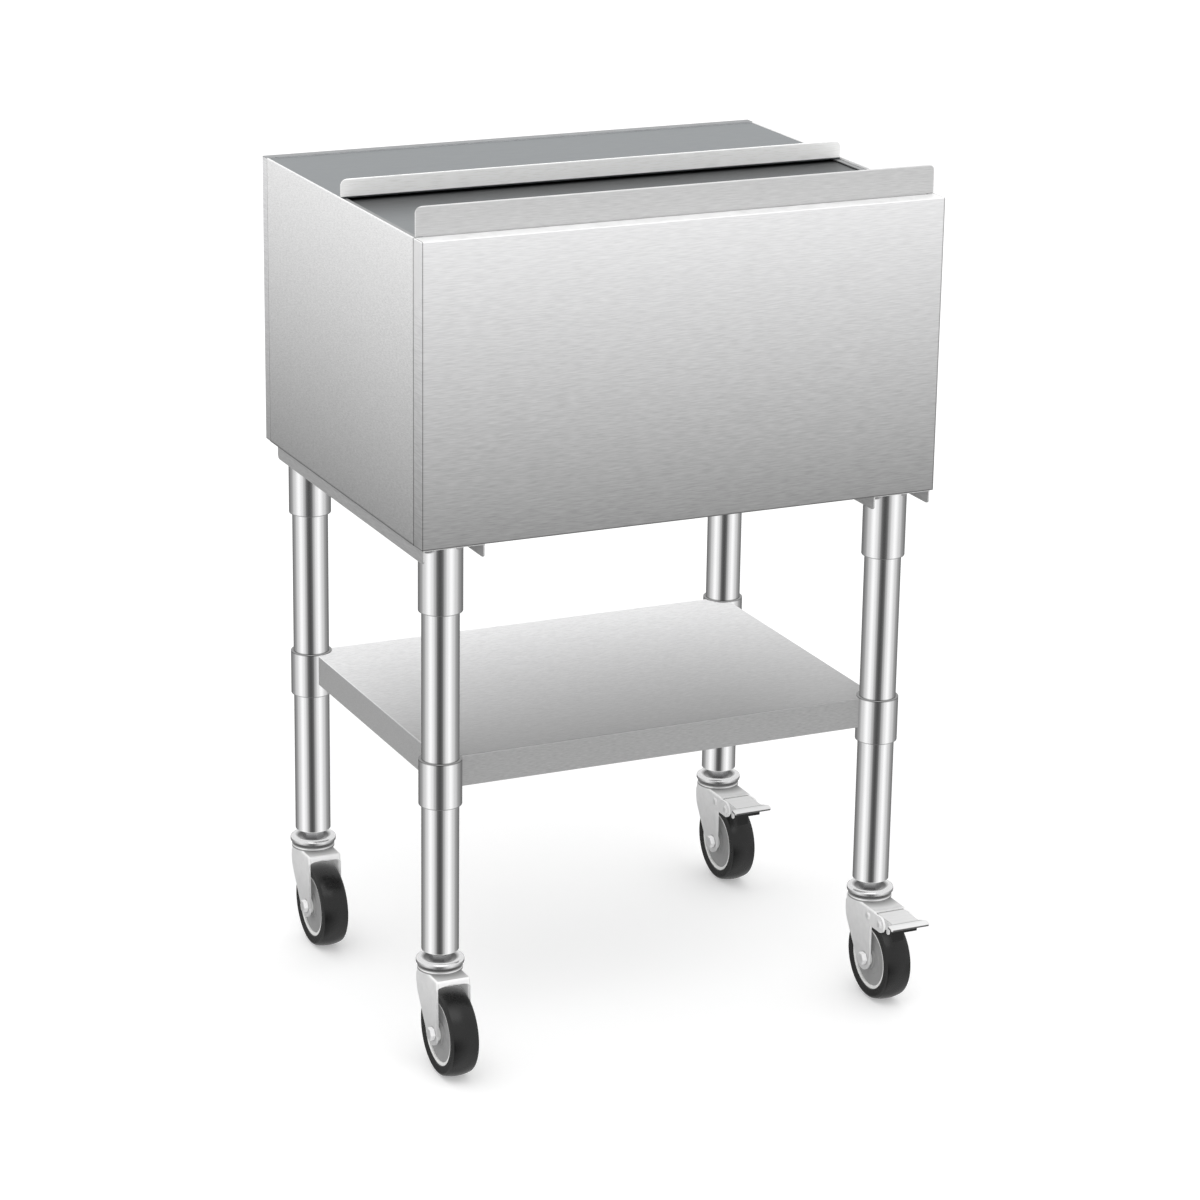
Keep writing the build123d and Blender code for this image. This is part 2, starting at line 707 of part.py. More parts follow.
for name, (x, y) in zip(leg_names, leg_points):
    braked = name.endswith("right")
    axle_y = y - caster_trail
    pivot_y = y - pivot_forward
    spring_y = y - spring_pin_forward
    # Side view: local x points forwards, local y points up
    side_view = Plane(origin=(x, y, 0), x_dir=(0, -1, 0), z_dir=(-1, 0, 0))
    # Section through the axle: local x runs along it, local y is the radius
    axle_view = Plane(origin=(x, axle_y, axle_z), x_dir=(1, 0, 0), z_dir=(0, -1, 0))
    axle_axis = Axis((x, axle_y, axle_z), (1, 0, 0))

    # Fork: a crown with two tapering arms and the lower half of the race
    with BuildPart() as fork:
        with BuildSketch(side_view) as arm_outline:
            with Locations((caster_trail - arm_end_setback, axle_z)):
                Circle(arm_end_radius)
            with Locations((-crown_back, crown_top)):
                Rectangle(
                    crown_back + crown_front,
                    crown_skirt,
                    align=(Align.MIN, Align.MAX),
                )
            make_hull()
            back_corners = arm_outline.vertices().group_by(Axis.X)[0]
            fillet(back_corners.sort_by(Axis.Y)[0], arm_back_round)
        extrude(amount=fork_half, both=True)
        if braked:
            with BuildSketch(side_view):
                with Locations((pivot_forward, pivot_z)):
                    Circle(ear_radius)
                with Locations((0, pivot_z - ear_radius)):
                    Rectangle(brake_crown_front, ear_neck, align=(Align.MIN, Align.MIN))
                make_hull()
            extrude(amount=fork_half, both=True)
            with BuildSketch(side_view):
                with Locations((0, crown_top)):
                    Rectangle(
                        brake_crown_front,
                        crown_top - pivot_z,
                        align=(Align.MIN, Align.MAX),
                    )
            extrude(amount=fork_half, both=True)
        crown_edges = fork.faces().sort_by(Axis.Z)[-1].edges()
        fillet(crown_edges.filter_by(Axis.Y), crown_bend)
        # Room for the wheel between the arms
        with BuildSketch(Plane.XZ.offset(-y)):
            with Locations((x, lip_z)):
                Rectangle(fork_gap, lip_z, align=(Align.CENTER, Align.MAX))
        extrude(amount=wheel_diameter, both=True, mode=Mode.SUBTRACT)
        # Room under the crown and between the ears; the plain fork keeps a lip at both ends
        room_front = brake_crown_front if braked else crown_front - fork_sheet
        with BuildSketch(side_view):
            with Locations((fork_sheet - crown_back, lip_z)):
                Rectangle(
                    room_front + crown_back - fork_sheet,
                    crown_under - lip_z,
                    align=(Align.MIN, Align.MIN),
                )
            if braked:
                with Locations((brake_crown_front, lip_z)):
                    Rectangle(
                        pivot_reach + ear_radius,
                        crown_top - lip_z,
                        align=(Align.MIN, Align.MIN),
                    )
        extrude(amount=fork_half_gap, both=True, mode=Mode.SUBTRACT)
        # The lips are arched over the tyre
        with BuildSketch(Plane.XZ.offset(-y)):
            with BuildLine():
                ThreePointArc(
                    (x - fork_half_gap, lip_z),
                    (x, lip_z + lip_arch),
                    (x + fork_half_gap, lip_z),
                )
                Line((x + fork_half_gap, lip_z), (x - fork_half_gap, lip_z))
            make_face()
        extrude(amount=wheel_diameter, both=True, mode=Mode.SUBTRACT)
        # Lower race and the hole for the stem
        with BuildSketch(Plane.XY.offset(crown_top)):
            with Locations((x, y)):
                Circle(race_diameter / 2)
        extrude(amount=race_height)
        fillet(fork.faces().sort_by(Axis.Z)[-1].edges(), race_edge)
        with BuildSketch(Plane.XY.offset(crown_under)):
            with Locations((x, y)):
                Circle(stem_radius + stem_fit)
        extrude(amount=race_top - crown_under, mode=Mode.SUBTRACT)
        # Holes for the axle and the brake's pins
        with BuildSketch(side_view):
            with Locations((caster_trail, axle_z)):
                Circle(axle_radius + axle_hole_gap)
            if braked:
                with Locations((pivot_forward, pivot_z)):
                    Circle(pin_radius + pivot_fit)
                with Locations((spring_pin_forward, spring_pin_z)):
                    Circle(spring_pin_radius + pivot_fit)
        extrude(amount=fork_half, both=True, mode=Mode.SUBTRACT)
    fork.part.label = name + "_fork"
    export_step(fork.part, "parts/" + name + "_fork.step")

    # Axle bolt: head on the left, nut on the right
    head_plane = Plane(origin=(x - fork_half, axle_y, axle_z), x_dir=(0, 1, 0), z_dir=(-1, 0, 0))
    nut_plane = Plane(origin=(x + fork_half, axle_y, axle_z), x_dir=(0, 1, 0), z_dir=(1, 0, 0))
    with BuildPart() as axle_bolt:
        with BuildSketch(head_plane):
            RegularPolygon(axle_hex_flats / 2, 6, major_radius=False)
        extrude(amount=axle_head)
        with BuildSketch(head_plane):
            Circle(axle_radius)
        extrude(amount=-(2 * fork_half + axle_nut + axle_tip))
        with BuildSketch(nut_plane):
            RegularPolygon(axle_hex_flats / 2, 6, major_radius=False)
            Circle(axle_radius + pivot_fit, mode=Mode.SUBTRACT)
        extrude(amount=axle_nut)
    axle_bolt.part.label = name + "_axle_bolt"
    export_step(axle_bolt.part, "parts/" + name + "_axle_bolt.step")

    # Axle sleeve: held between the arms, the wheel turns on it
    with BuildPart() as axle_sleeve:
        with BuildSketch(Plane.YZ.offset(x)):
            with Locations((axle_y, axle_z)):
                Circle(sleeve_radius)
                Circle(sleeve_bore, mode=Mode.SUBTRACT)
        extrude(amount=fork_half_gap, both=True)
    axle_sleeve.part.label = name + "_axle_sleeve"
    export_step(axle_sleeve.part, "parts/" + name + "_axle_sleeve.step")

    # Wheel core: hub, web and rim, with seats for the covers
    with BuildPart() as wheel_core:
        with BuildSketch(axle_view):
            with BuildLine():
                Polyline(
                    (0, core_bore),
                    (hub_half, core_bore),
                    (hub_half, hub_radius),
                    (web_sheet / 2, hub_radius),
                    (web_sheet / 2, rim_in - rim_shoulder),
                    (cover_seat, rim_in - rim_shoulder),
                    (cover_seat, rim_in),
                    (rim_half, rim_in),
                    (rim_half, rim_out),
                    (0, rim_out),
                )
                mirror(about=Plane.YZ)
            make_face()
        revolve(axis=axle_axis)
    wheel_core.part.label = name + "_wheel_core"
    export_step(wheel_core.part, "parts/" + name + "_wheel_core.step")

    # Hub covers: one disc each side, a little back in the rim, with a raised boss
    with BuildPart() as hub_covers:
        for facing in (-1, 1):
            seat_plane = Plane(
                origin=(x + facing * cover_seat, axle_y, axle_z),
                x_dir=(0, 1, 0),
                z_dir=(facing, 0, 0),
            )
            with BuildSketch(seat_plane):
                Circle(rim_in - cover_gap)
                Circle(hub_radius + cover_gap, mode=Mode.SUBTRACT)
            extrude(amount=cover_sheet)
            with BuildSketch(seat_plane.offset(cover_sheet)):
                Circle(cover_boss / 2)
                Circle(hub_radius + cover_gap, mode=Mode.SUBTRACT)
            extrude(amount=cover_boss_rise)
    hub_covers.part.label = name + "_hub_covers"
    export_step(hub_covers.part, "parts/" + name + "_hub_covers.step")

    # Tyre: a gently crowned tread with rounded shoulders
    with BuildPart() as tyre:
        with BuildSketch(axle_view) as tyre_section:
            with BuildLine():
                ThreePointArc(
                    (-wheel_width / 2, shoulder_radius),
                    (0, wheel_radius),
                    (wheel_width / 2, shoulder_radius),
                )
                Polyline(
                    (wheel_width / 2, shoulder_radius),
                    (bead_half, rim_out),
                    (-bead_half, rim_out),
                    (-wheel_width / 2, shoulder_radius),
                )
            make_face()
            fillet(tyre_section.vertices().group_by(Axis.Y)[-1], tyre_shoulder_round)
        revolve(axis=axle_axis)
    tyre.part.label = name + "_tyre"
    export_step(tyre.part, "parts/" + name + "_tyre.step")

    if not braked:
        continue

    # Brake pedal: a channel that tips on the pivot pin and widens to a lip in front
    with BuildPart() as brake_pedal:
        with BuildSketch(side_view):
            with Locations((pivot_forward, pivot_z)):
                Circle(cheek_eye)
            with Locations((cheek_back, pedal_under)):
                Rectangle(
                    cheek_eye + cheek_reach,
                    cheek_depth,
                    align=(Align.MIN, Align.MAX),
                )
            make_hull()
        extrude(amount=cheek_out, both=True)
        with BuildSketch(side_view):
            with Locations((foot_forward, pedal_under - foot_drop)):
                Circle(foot_radius)
            with Locations((foot_forward, pedal_under)):
                Rectangle(2 * foot_radius, cheek_depth, align=(Align.CENTER, Align.MAX))
            make_hull()
        extrude(amount=cheek_out, both=True)
        with BuildSketch(Plane.XZ.offset(-y)):
            with Locations((x, pedal_under)):
                Rectangle(2 * cheek_in, pedal_under, align=(Align.CENTER, Align.MAX))
        extrude(amount=pedal_front, mode=Mode.SUBTRACT)
        with BuildSketch(side_view):
            with BuildLine():
                Polyline(
                    (pedal_back, pedal_under),
                    (pedal_crease, pedal_under),
                    (pedal_front, pedal_under - pedal_lip_fall),
                    (pedal_front, pedal_under - pedal_lip_fall + pedal_sheet),
                    (pedal_crease, pedal_under + pedal_sheet),
                    (pedal_back, pedal_under + pedal_sheet),
                    close=True,
                )
            make_face()
        extrude(amount=pedal_width / 2, both=True)
        fillet(
            brake_pedal.faces().sort_by(Axis.Y)[0].edges().filter_by(Axis.Z),
            pedal_corner,
        )
        # Behind the lip the plate is as narrow as the channel
        for facing in (-1, 1):
            with BuildSketch(Plane.XY.offset(pivot_z)):
                with BuildLine():
                    Polyline(
                        (x + facing * cheek_out, y - pedal_back),
                        (x + facing * cheek_out, y - pedal_crease + pedal_flare / 2),
                        (x + facing * pedal_width / 2, y - pedal_crease - pedal_flare / 2),
                        (x + facing * pedal_width / 2, y - pedal_back),
                        close=True,
                    )
                make_face()
            extrude(amount=pedal_lift + pedal_sheet, mode=Mode.SUBTRACT)
        with BuildSketch(side_view):
            with Locations((pivot_forward, pivot_z)):
                Circle(pin_radius + pivot_fit)
        extrude(amount=cheek_out, both=True, mode=Mode.SUBTRACT)
    brake_pedal.part.label = name + "_brake_pedal"
    export_step(brake_pedal.part, "parts/" + name + "_brake_pedal.step")

    # Brake pad: hangs under the pedal, its shoe just clear of the tyre
    with BuildPart() as brake_pad:
        with BuildSketch(side_view):
            with Locations((pad_back, pedal_under)):
                Rectangle(pad_front - pad_back, pad_depth, align=(Align.MIN, Align.MAX))
            with Locations((pad_back, pedal_under)):
                Rectangle(
                    shoe_length,
                    pedal_under - axle_z,
                    align=(Align.MIN, Align.MAX),
                )
            with Locations((caster_trail, axle_z)):
                Circle(wheel_radius + shoe_gap, mode=Mode.SUBTRACT)
        extrude(amount=shoe_width / 2, both=True)
        with BuildSketch(side_view):
            with Locations((pad_front, pedal_under)):
                Rectangle(pad_tip_length, pad_tip_depth, align=(Align.MAX, Align.MAX))
        extrude(amount=cheek_in - pad_side_gap, both=True)
    brake_pad.part.label = name + "_brake_pad"
    export_step(brake_pad.part, "parts/" + name + "_brake_pad.step")

    # Brake pins: the pedal's pivot and the spring pin, riveted outside the fork
    with BuildPart() as brake_pins:
        with BuildSketch(Plane.YZ.offset(x)):
            with Locations((pivot_y, pivot_z)):
                Circle(pin_radius)
            with Locations((spring_y, spring_pin_z)):
                Circle(spring_pin_radius)
        extrude(amount=fork_half, both=True)
        for facing in (-1, 1):
            with BuildSketch(Plane.YZ.offset(x + facing * fork_half)):
                with Locations((pivot_y, pivot_z), (spring_y, spring_pin_z)):
                    Circle(pin_head_diameter / 2)
            extrude(amount=facing * pin_head_height)
    brake_pins.part.label = name + "_brake_pins"
    export_step(brake_pins.part, "parts/" + name + "_brake_pins.step")
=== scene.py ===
"""Looks of a mobile ice bin: fine meshes, procedural finishes, studio and camera.

Lengths are in metres in the part's own frame: +Z is up, the front faces -Y and
the origin is on the floor under the middle of the bin.
"""
import json
import logging
import math
from dataclasses import dataclass, field
from enum import Enum
from typing import Dict, Iterable, List, Optional, Sequence, Tuple, TypeVar, Union

import bmesh
import bpy
from mathutils import Matrix, Vector

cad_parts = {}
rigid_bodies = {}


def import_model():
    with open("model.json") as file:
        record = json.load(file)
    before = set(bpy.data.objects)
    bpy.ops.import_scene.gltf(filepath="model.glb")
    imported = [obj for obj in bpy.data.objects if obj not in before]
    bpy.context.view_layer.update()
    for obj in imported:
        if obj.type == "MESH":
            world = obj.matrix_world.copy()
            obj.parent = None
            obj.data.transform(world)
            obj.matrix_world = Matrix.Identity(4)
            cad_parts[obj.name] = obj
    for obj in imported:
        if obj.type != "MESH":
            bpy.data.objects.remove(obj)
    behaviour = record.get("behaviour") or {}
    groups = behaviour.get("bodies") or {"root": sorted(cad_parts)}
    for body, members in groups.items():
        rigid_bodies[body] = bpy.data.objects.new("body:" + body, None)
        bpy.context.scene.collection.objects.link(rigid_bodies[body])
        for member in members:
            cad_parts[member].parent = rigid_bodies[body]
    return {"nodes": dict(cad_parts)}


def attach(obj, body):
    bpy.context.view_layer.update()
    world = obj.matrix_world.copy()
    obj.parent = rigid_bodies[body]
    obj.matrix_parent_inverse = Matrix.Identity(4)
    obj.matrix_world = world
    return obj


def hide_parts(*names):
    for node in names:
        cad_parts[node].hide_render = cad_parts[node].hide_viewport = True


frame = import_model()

Key = Union[int, str]
Colour = Tuple[float, float, float]
Corner = Tuple[float, float, float]
Place = Tuple[float, float]
Triple = Tuple[float, float, float]
Stop = Tuple[float, float]
Seam = Tuple["Axis", float, float]
Thing = TypeVar("Thing")

LOG = logging.getLogger("ice_bin")
MM = 0.001
WHITE = (1.0, 1.0, 1.0, 1.0)
RIGHT: Triple = (1.0, 0.0, 0.0)
LEFT: Triple = (-1.0, 0.0, 0.0)
FORWARDS: Triple = (0.0, -1.0, 0.0)
BACKWARDS: Triple = (0.0, 1.0, 0.0)
UP: Triple = (0.0, 0.0, 1.0)
DOWN: Triple = (0.0, 0.0, -1.0)
# X and Y of the stems, in the quarter where both are positive.
STEM: Place = (0.268, 0.197)
# Height over which a sheet's tone changes at a bend.
BEND = 0.0006
# Change of tone per metre across a fold.
FOLD_RATE = 2500.0
# Average of a random pattern.
MIDDLE = 0.5
# Points closer than this are one point, and places have this many decimals.
TOUCH, DECIMALS = 1e-7, 7
# Levels closer than this are one level.
NEAR = 0.1 * MM
# Least share of a normal along the direction that its face looks in.
FACING = 0.9
# Least turn of a bend of the forks, in radians.
BEND_TURN = 1.0
# Turns in degrees: from the first an edge is sharp, from the second it may end a flat.
SHARP_TURN, SLIGHT_TURN = 32.0, 6.0
# How many times larger than its neighbour a flat is, at least.
UNEVEN = 8.0
# Corners of a face that splits in two from its first corner to its third.
QUAD = 4


class Axis(Enum):
    """A direction of the part's frame."""

    X = 0
    Y = 1
    Z = 2


class Side(Enum):
    """The two ends of an axle."""

    LEFT = -1
    RIGHT = 1


class Brake(Enum):
    """What stops a caster's wheel."""

    NONE = "none"
    PEDAL = "pedal"


class Maths(Enum):
    """What a Math or Vector Math node does."""

    ADD = "ADD"
    SUBTRACT = "SUBTRACT"
    MULTIPLY = "MULTIPLY"
    DIVIDE = "DIVIDE"
    POWER = "POWER"
    ABSOLUTE = "ABSOLUTE"
    SCALE = "SCALE"


class Value:
    """A shader socket that takes part in Python arithmetic."""

    def __init__(self, graph: "Graph", socket: bpy.types.NodeSocket) -> None:
        """Keep the socket and the graph that it belongs to."""
        self.graph = graph
        self.socket = socket

    def _math(self, operation: Maths, *operands: "Operand") -> "Value":
        """Add one Math node on the operands and return its result."""
        settings = {"operation": operation.value}
        return self.graph.node("ShaderNodeMath", settings, dict(enumerate(operands)))

    def __add__(self, other: "Operand") -> "Value":
        """Return self + other."""
        return self._math(Maths.ADD, self, other)

    def __radd__(self, other: "Operand") -> "Value":
        """Return other + self."""
        return self._math(Maths.ADD, other, self)

    def __sub__(self, other: "Operand") -> "Value":
        """Return self - other."""
        return self._math(Maths.SUBTRACT, self, other)

    def __rsub__(self, other: "Operand") -> "Value":
        """Return other - self."""
        return self._math(Maths.SUBTRACT, other, self)

    def __mul__(self, other: "Operand") -> "Value":
        """Return self * other."""
        return self._math(Maths.MULTIPLY, self, other)

    def __rmul__(self, other: "Operand") -> "Value":
        """Return other * self."""
        return self._math(Maths.MULTIPLY, other, self)

    def __truediv__(self, other: "Operand") -> "Value":
        """Return self / other."""
        return self._math(Maths.DIVIDE, self, other)

    def __pow__(self, other: "Operand") -> "Value":
        """Return self to the power of other."""
        return self._math(Maths.POWER, self, other)

    def __abs__(self) -> "Value":
        """Return the value without its sign."""
        return self._math(Maths.ABSOLUTE, self)

    def clamped(self) -> "Value":
        """Return the value held between 0 and 1."""
        return self.graph.node("ShaderNodeClamp", {}, {0: self, 1: 0.0, 2: 1.0})

    def other(self, output: Key) -> "Value":
        """Return another output of the node that this value comes from."""
        return Value(self.graph, self.socket.node.outputs[output])


Operand = Union[Value, float, Sequence[float]]


class Graph:
    """The nodes of one material, or of the studio's surroundings."""

    def __init__(self, tree: bpy.types.NodeTree) -> None:
        """Start from an empty tree."""
        self.tree = tree
        tree.nodes.clear()

    def node(
        self,
        kind: str,
        settings: Optional[Dict[str, object]] = None,
        inputs: Optional[Dict[Key, Operand]] = None,
        output: Key = 0,
    ) -> Value:
        """Add a node.

        Args:
            kind: The node's type name.
            settings: Its settings, set first; "stops" holds a ramp's positions and greys.
            inputs: A number, a colour or another node's value for each socket.
            output: The output that is returned.

        Returns:
            The value of that output.
        """
        made = self.tree.nodes.new(kind)
        for name, setting in (settings or {}).items():
            if name == "stops":
                self._set_stops(made.color_ramp, setting)
            else:
                setattr(made, name, setting)
        for key, operand in (inputs or {}).items():
            if isinstance(operand, Value):
                self.tree.links.new(operand.socket, made.inputs[key])
            else:
                made.inputs[key].default_value = operand
        return Value(self, made.outputs[output])

    @staticmethod
    def _set_stops(ramp: bpy.types.ColorRamp, stops: Sequence[Stop]) -> None:
        """Give a ramp its stops.

        Args:
            ramp: The ramp of a Color Ramp node.
            stops: Position and grey of each stop, from low to high.
        """
        ramp.interpolation = "EASE"
        while len(ramp.elements) < len(stops):
            ramp.elements.new(1.0)
        for element, (position, tone) in zip(ramp.elements, stops):
            element.position = position
            element.color = opaque(grey(tone))

    def show(self, shader: Value, kind: str = "ShaderNodeOutputMaterial") -> None:
        """Make a shader the one that is seen, on an output node of the given kind."""
        self.tree.links.new(shader.socket, self.tree.nodes.new(kind).inputs["Surface"])

    def place(self) -> Value:
        """Return the place on the object."""
        return self.node("ShaderNodeTexCoord", output="Object")

    def level(self, axis: Axis) -> Value:
        """Return the place on the object along one axis."""
        return self.node("ShaderNodeSeparateXYZ", {}, {0: self.place()}, axis.value)

    def from_corner(self, corner: Place) -> Value:
        """Return the distance from an upright line that is alike in all four quarters."""
        x, y = abs(self.level(Axis.X)) - corner[0], abs(self.level(Axis.Y)) - corner[1]
        return (x * x + y * y) ** 0.5

    def along(self, axis: Axis, start: float, end: float) -> Value:
        """Return how far a point lies between two levels, held between 0 and 1."""
        return ((self.level(axis) - start) / (end - start)).clamped()

    def seams(self, seams: Sequence[Seam], depth: float) -> Operand:
        """Darken or lighten narrow lines: dark joints, painted shade in gaps and creases, and
        painted highlights along edges.

        Args:
            seams: Axis, level and half width of each line.
            depth: How dark the lines are; below 0 they are bright.

        Returns:
            1 away from the lines, less or more on them.
        """
        light: Operand = 1.0
        for axis, at, half in seams:
            clear = (abs(self.level(axis) - at) / half).clamped()
            light = light * (clear * depth + (1.0 - depth))
        return light

    def scaled(self, colour: Value, factor: Operand) -> Value:
        """Return a colour made lighter or darker by a factor."""
        settings = {"operation": Maths.SCALE.value}
        return self.node("ShaderNodeVectorMath", settings, {0: colour, "Scale": factor})

    def noise(self, scale: Triple, detail: float = 2.0, roughness: float = 0.5) -> Value:
        """Make a soft random pattern.

        Args:
            scale: Features per metre in X, Y and Z.
            detail: Number of finer layers.
            roughness: How strong the finer layers are.

        Returns:
            The pattern, about 0.5 on average.
        """
        settings = {"operation": Maths.MULTIPLY.value}
        stretched = self.node("ShaderNodeVectorMath", settings, {0: self.place(), 1: scale})
        return self.node(
            "ShaderNodeTexNoise",
            {"noise_dimensions": "3D"},
            {"Vector": stretched, "Scale": 1.0, "Detail": detail, "Roughness": roughness},
        )

    def blend(self, factor: Operand, low: Operand, high: Operand) -> Value:
        """Mix two colours: a factor of 0 gives the first and 1 the second."""
        return self.node("ShaderNodeMix", {"data_type": "RGBA"}, {0: factor, 6: low, 7: high}, 2)

    def bump(self, height: Value, strength: float, depth: float) -> Value:
        """Turn a pattern into a normal; strength is a share, depth is in metres."""
        inputs = {"Strength": strength, "Distance": depth, "Height": height}
        return self.node("ShaderNodeBump", {}, inputs)


def grey(tone: float) -> Colour:
    """Return a grey without any tint."""
    return (tone, tone, tone)


def even(scale: float) -> Triple:
    """Return the scale of a pattern that is alike in all directions."""
    return (scale, scale, scale)


def opaque(colour: Colour) -> Tuple[float, float, float, float]:
    """Return a colour with full cover."""
    return (colour[0], colour[1], colour[2], 1.0)


@dataclass(frozen=True)
class Finish:
    """A surface finish; each kind adds its own pattern.

    Attributes:
        name: The material's name.
        roughness: How dull the surface is.
        metallic: 1 for bare metal, 0 for plastic and rubber.
    """

    name: str
    roughness: float = 0.4
    metallic: float = 1.0

    def sockets(self, graph: Graph) -> Dict[Key, Operand]:
        """Return the shader's values; each kind of finish has its own."""
        raise NotImplementedError

    def material(self) -> bpy.types.Material:
        """Make the finish's material, or find it if it is made already.

        Returns:
            The material.
        """
        label = self.name + "_finish"
        made = bpy.data.materials.get(label)
        if made is None:
            made = bpy.data.materials.new(label)
            made.use_nodes = True
            graph = Graph(made.node_tree)
            graph.show(graph.node("ShaderNodeBsdfPrincipled", {}, self.sockets(graph)))
        return made


@dataclass(frozen=True)
class BrushedSheet(Finish):
    """Brushed stainless sheet, with a painted shade that runs evenly from one level to another.

    Attributes:
        low: Colour at the start level, one end of the painted shade.
        high: Colour at the end level, the other end of the painted shade.
        axis: Direction of the shading.
        start: Start level in metres.
        end: End level in metres.
        crest: Z of the turned rim, above which the rim's colour starts.
        rim: Colour of the rim; a white rim is a painted highlight on its up-facing top.
        matt_rim: How much less metallic the rim is.
        hem: Z of the down-turned edge, below which the edge's painted shade starts.
        skirt: Colour of that edge, a painted shade of the sheet.
        flank: Distance from the middle at which the folded sides start.
        lift: How much lighter the folded sides are, a painted highlight.
        grain: Features per metre along X, Y and Z; low along the brush strokes.
        contrast: How far the strokes stand out in tone.
        fade: How much less they do so at the end level than at the start.
        scatter: How far the strokes change the roughness.
        press: Share of the strokes' full relief that shows.
        relief: Height of the strokes in metres.
        broad: Features per metre of broad clouds in the sheet.
        clouds: How far these clouds stand out in tone.
        joints: Dark lines where one sheet meets the next, and painted shade in gaps and creases.
        depth: How dark these lines are.
        edges: Painted highlights along cut edges and bends.
        gleam: How bright these painted highlights are.
    """

    low: Colour = (0.4, 0.4, 0.4)
    high: Colour = (0.8, 0.8, 0.8)
    axis: Axis = Axis.Z
    start: float = 0.608
    end: float = 0.938
    crest: float = 2.0
    rim: Colour = (0.96, 0.96, 0.96)
    matt_rim: float = 0.6
    hem: float = -1.0
    skirt: Colour = (0.4, 0.4, 0.4)
    flank: float = 2.0
    lift: float = 0.0
    grain: Triple = (70.0, 70.0, 1300.0)
    contrast: float = 0.55
    fade: float = 0.0
    scatter: float = 0.16
    press: float = 0.2
    relief: float = 0.00003
    broad: float = 4.0
    clouds: float = 0.02
    joints: Tuple[Seam, ...] = ()
    depth: float = 0.65
    edges: Tuple[Seam, ...] = ()
    gleam: float = 0.4

    def sockets(self, graph: Graph) -> Dict[Key, Operand]:
        """Paint the sheet's shade and highlights, and lay fine strokes over it.

        Args:
            graph: The material's nodes.

        Returns:
            The shader's values by socket.
        """
        strokes = graph.noise(self.grain)
        clouds = graph.noise(even(self.broad), detail=1.0)
        aside = ((abs(graph.level(Axis.X)) - self.flank) * FOLD_RATE + 1.0).clamped()
        # Painted shade: the colour runs from low to high between the two levels.
        shade = graph.along(self.axis, self.start, self.end)
        sheet = graph.blend(shade, opaque(self.low), opaque(self.high))
        # The rim's colour; a white rim is a painted highlight.
        turned = graph.along(Axis.Z, self.crest - BEND, self.crest)
        sheet = graph.blend(turned, sheet, opaque(self.rim))
        # Painted shade: the down-turned edge takes the skirt's darker colour.
        upper = graph.along(Axis.Z, self.hem - BEND, self.hem)
        sheet = graph.blend(upper, opaque(self.skirt), sheet)
        strength = self.contrast * (1.0 + (0.5 - shade) * self.fade)
        tone = 1.0 + (strokes - MIDDLE) * strength + (clouds - MIDDLE) * self.clouds
        # Painted highlight: the folded sides are lighter.
        tone = tone * (1.0 + aside * self.lift)
        # Dark lines for joints and for painted shade in gaps; painted highlights along edges.
        tone = tone * graph.seams(self.joints, self.depth) * graph.seams(self.edges, -self.gleam)
        return {
            "Base Color": graph.scaled(sheet, tone),
            "Roughness": self.roughness + (strokes - MIDDLE) * self.scatter,
            "Metallic": self.metallic * (1.0 - turned * self.matt_rim),
            "Normal": graph.bump(strokes, self.press, self.relief),
        }


@dataclass(frozen=True)
class PlatedFork(BrushedSheet):
    """Plated fork, with soft shade round the race and round the ends of the axle.

    Attributes:
        crown: Z of the crown's top.
        crown_rate: Change of the crown's shade per metre of height.
        race: Radius of the race on the crown.
        race_rate: Change of the shade next to the race per metre.
        head: Radius of the axle bolt's head.
        head_rate: Change of the shade round that head per metre.
        trail: How far the axles lie forwards of the stems.
        axle: Z of the axles.
        dim: Shade over the whole crown.
        deep: Further shade next to the race.
        ring: Shade round the bolt's head.
    """

    crown: float = 0.115
    crown_rate: float = 2000.0
    race: float = 0.025
    race_rate: float = 60.0
    head: float = 0.0075
    head_rate: float = 600.0
    trail: float = 0.028
    axle: float = 0.05
    dim: float = 0.32
    deep: float = 0.48
    ring: float = 0.4

    def sockets(self, graph: Graph) -> Dict[Key, Operand]:
        """Shade the crown next to the race, and the arms next to the bolts.

        Args:
            graph: The material's nodes.

        Returns:
            The shader's values by socket.
        """
        found = super().sockets(graph)
        near = (1.0 - (graph.from_corner(STEM) - self.race) * self.race_rate).clamped()
        flat = (1.0 - abs(graph.level(Axis.Z) - self.crown) * self.crown_rate).clamped()
        forwards = abs(graph.level(Axis.Y) + self.trail) - STEM[1]
        upwards = graph.level(Axis.Z) - self.axle
        bolt = (forwards * forwards + upwards * upwards) ** 0.5
        round_bolt = (1.0 - (bolt - self.head) * self.head_rate).clamped()
        shade = (1.0 - flat * (self.dim + near * self.deep)) * (1.0 - round_bolt * self.ring)
        found["Base Color"] = graph.scaled(found["Base Color"], shade)
        return found


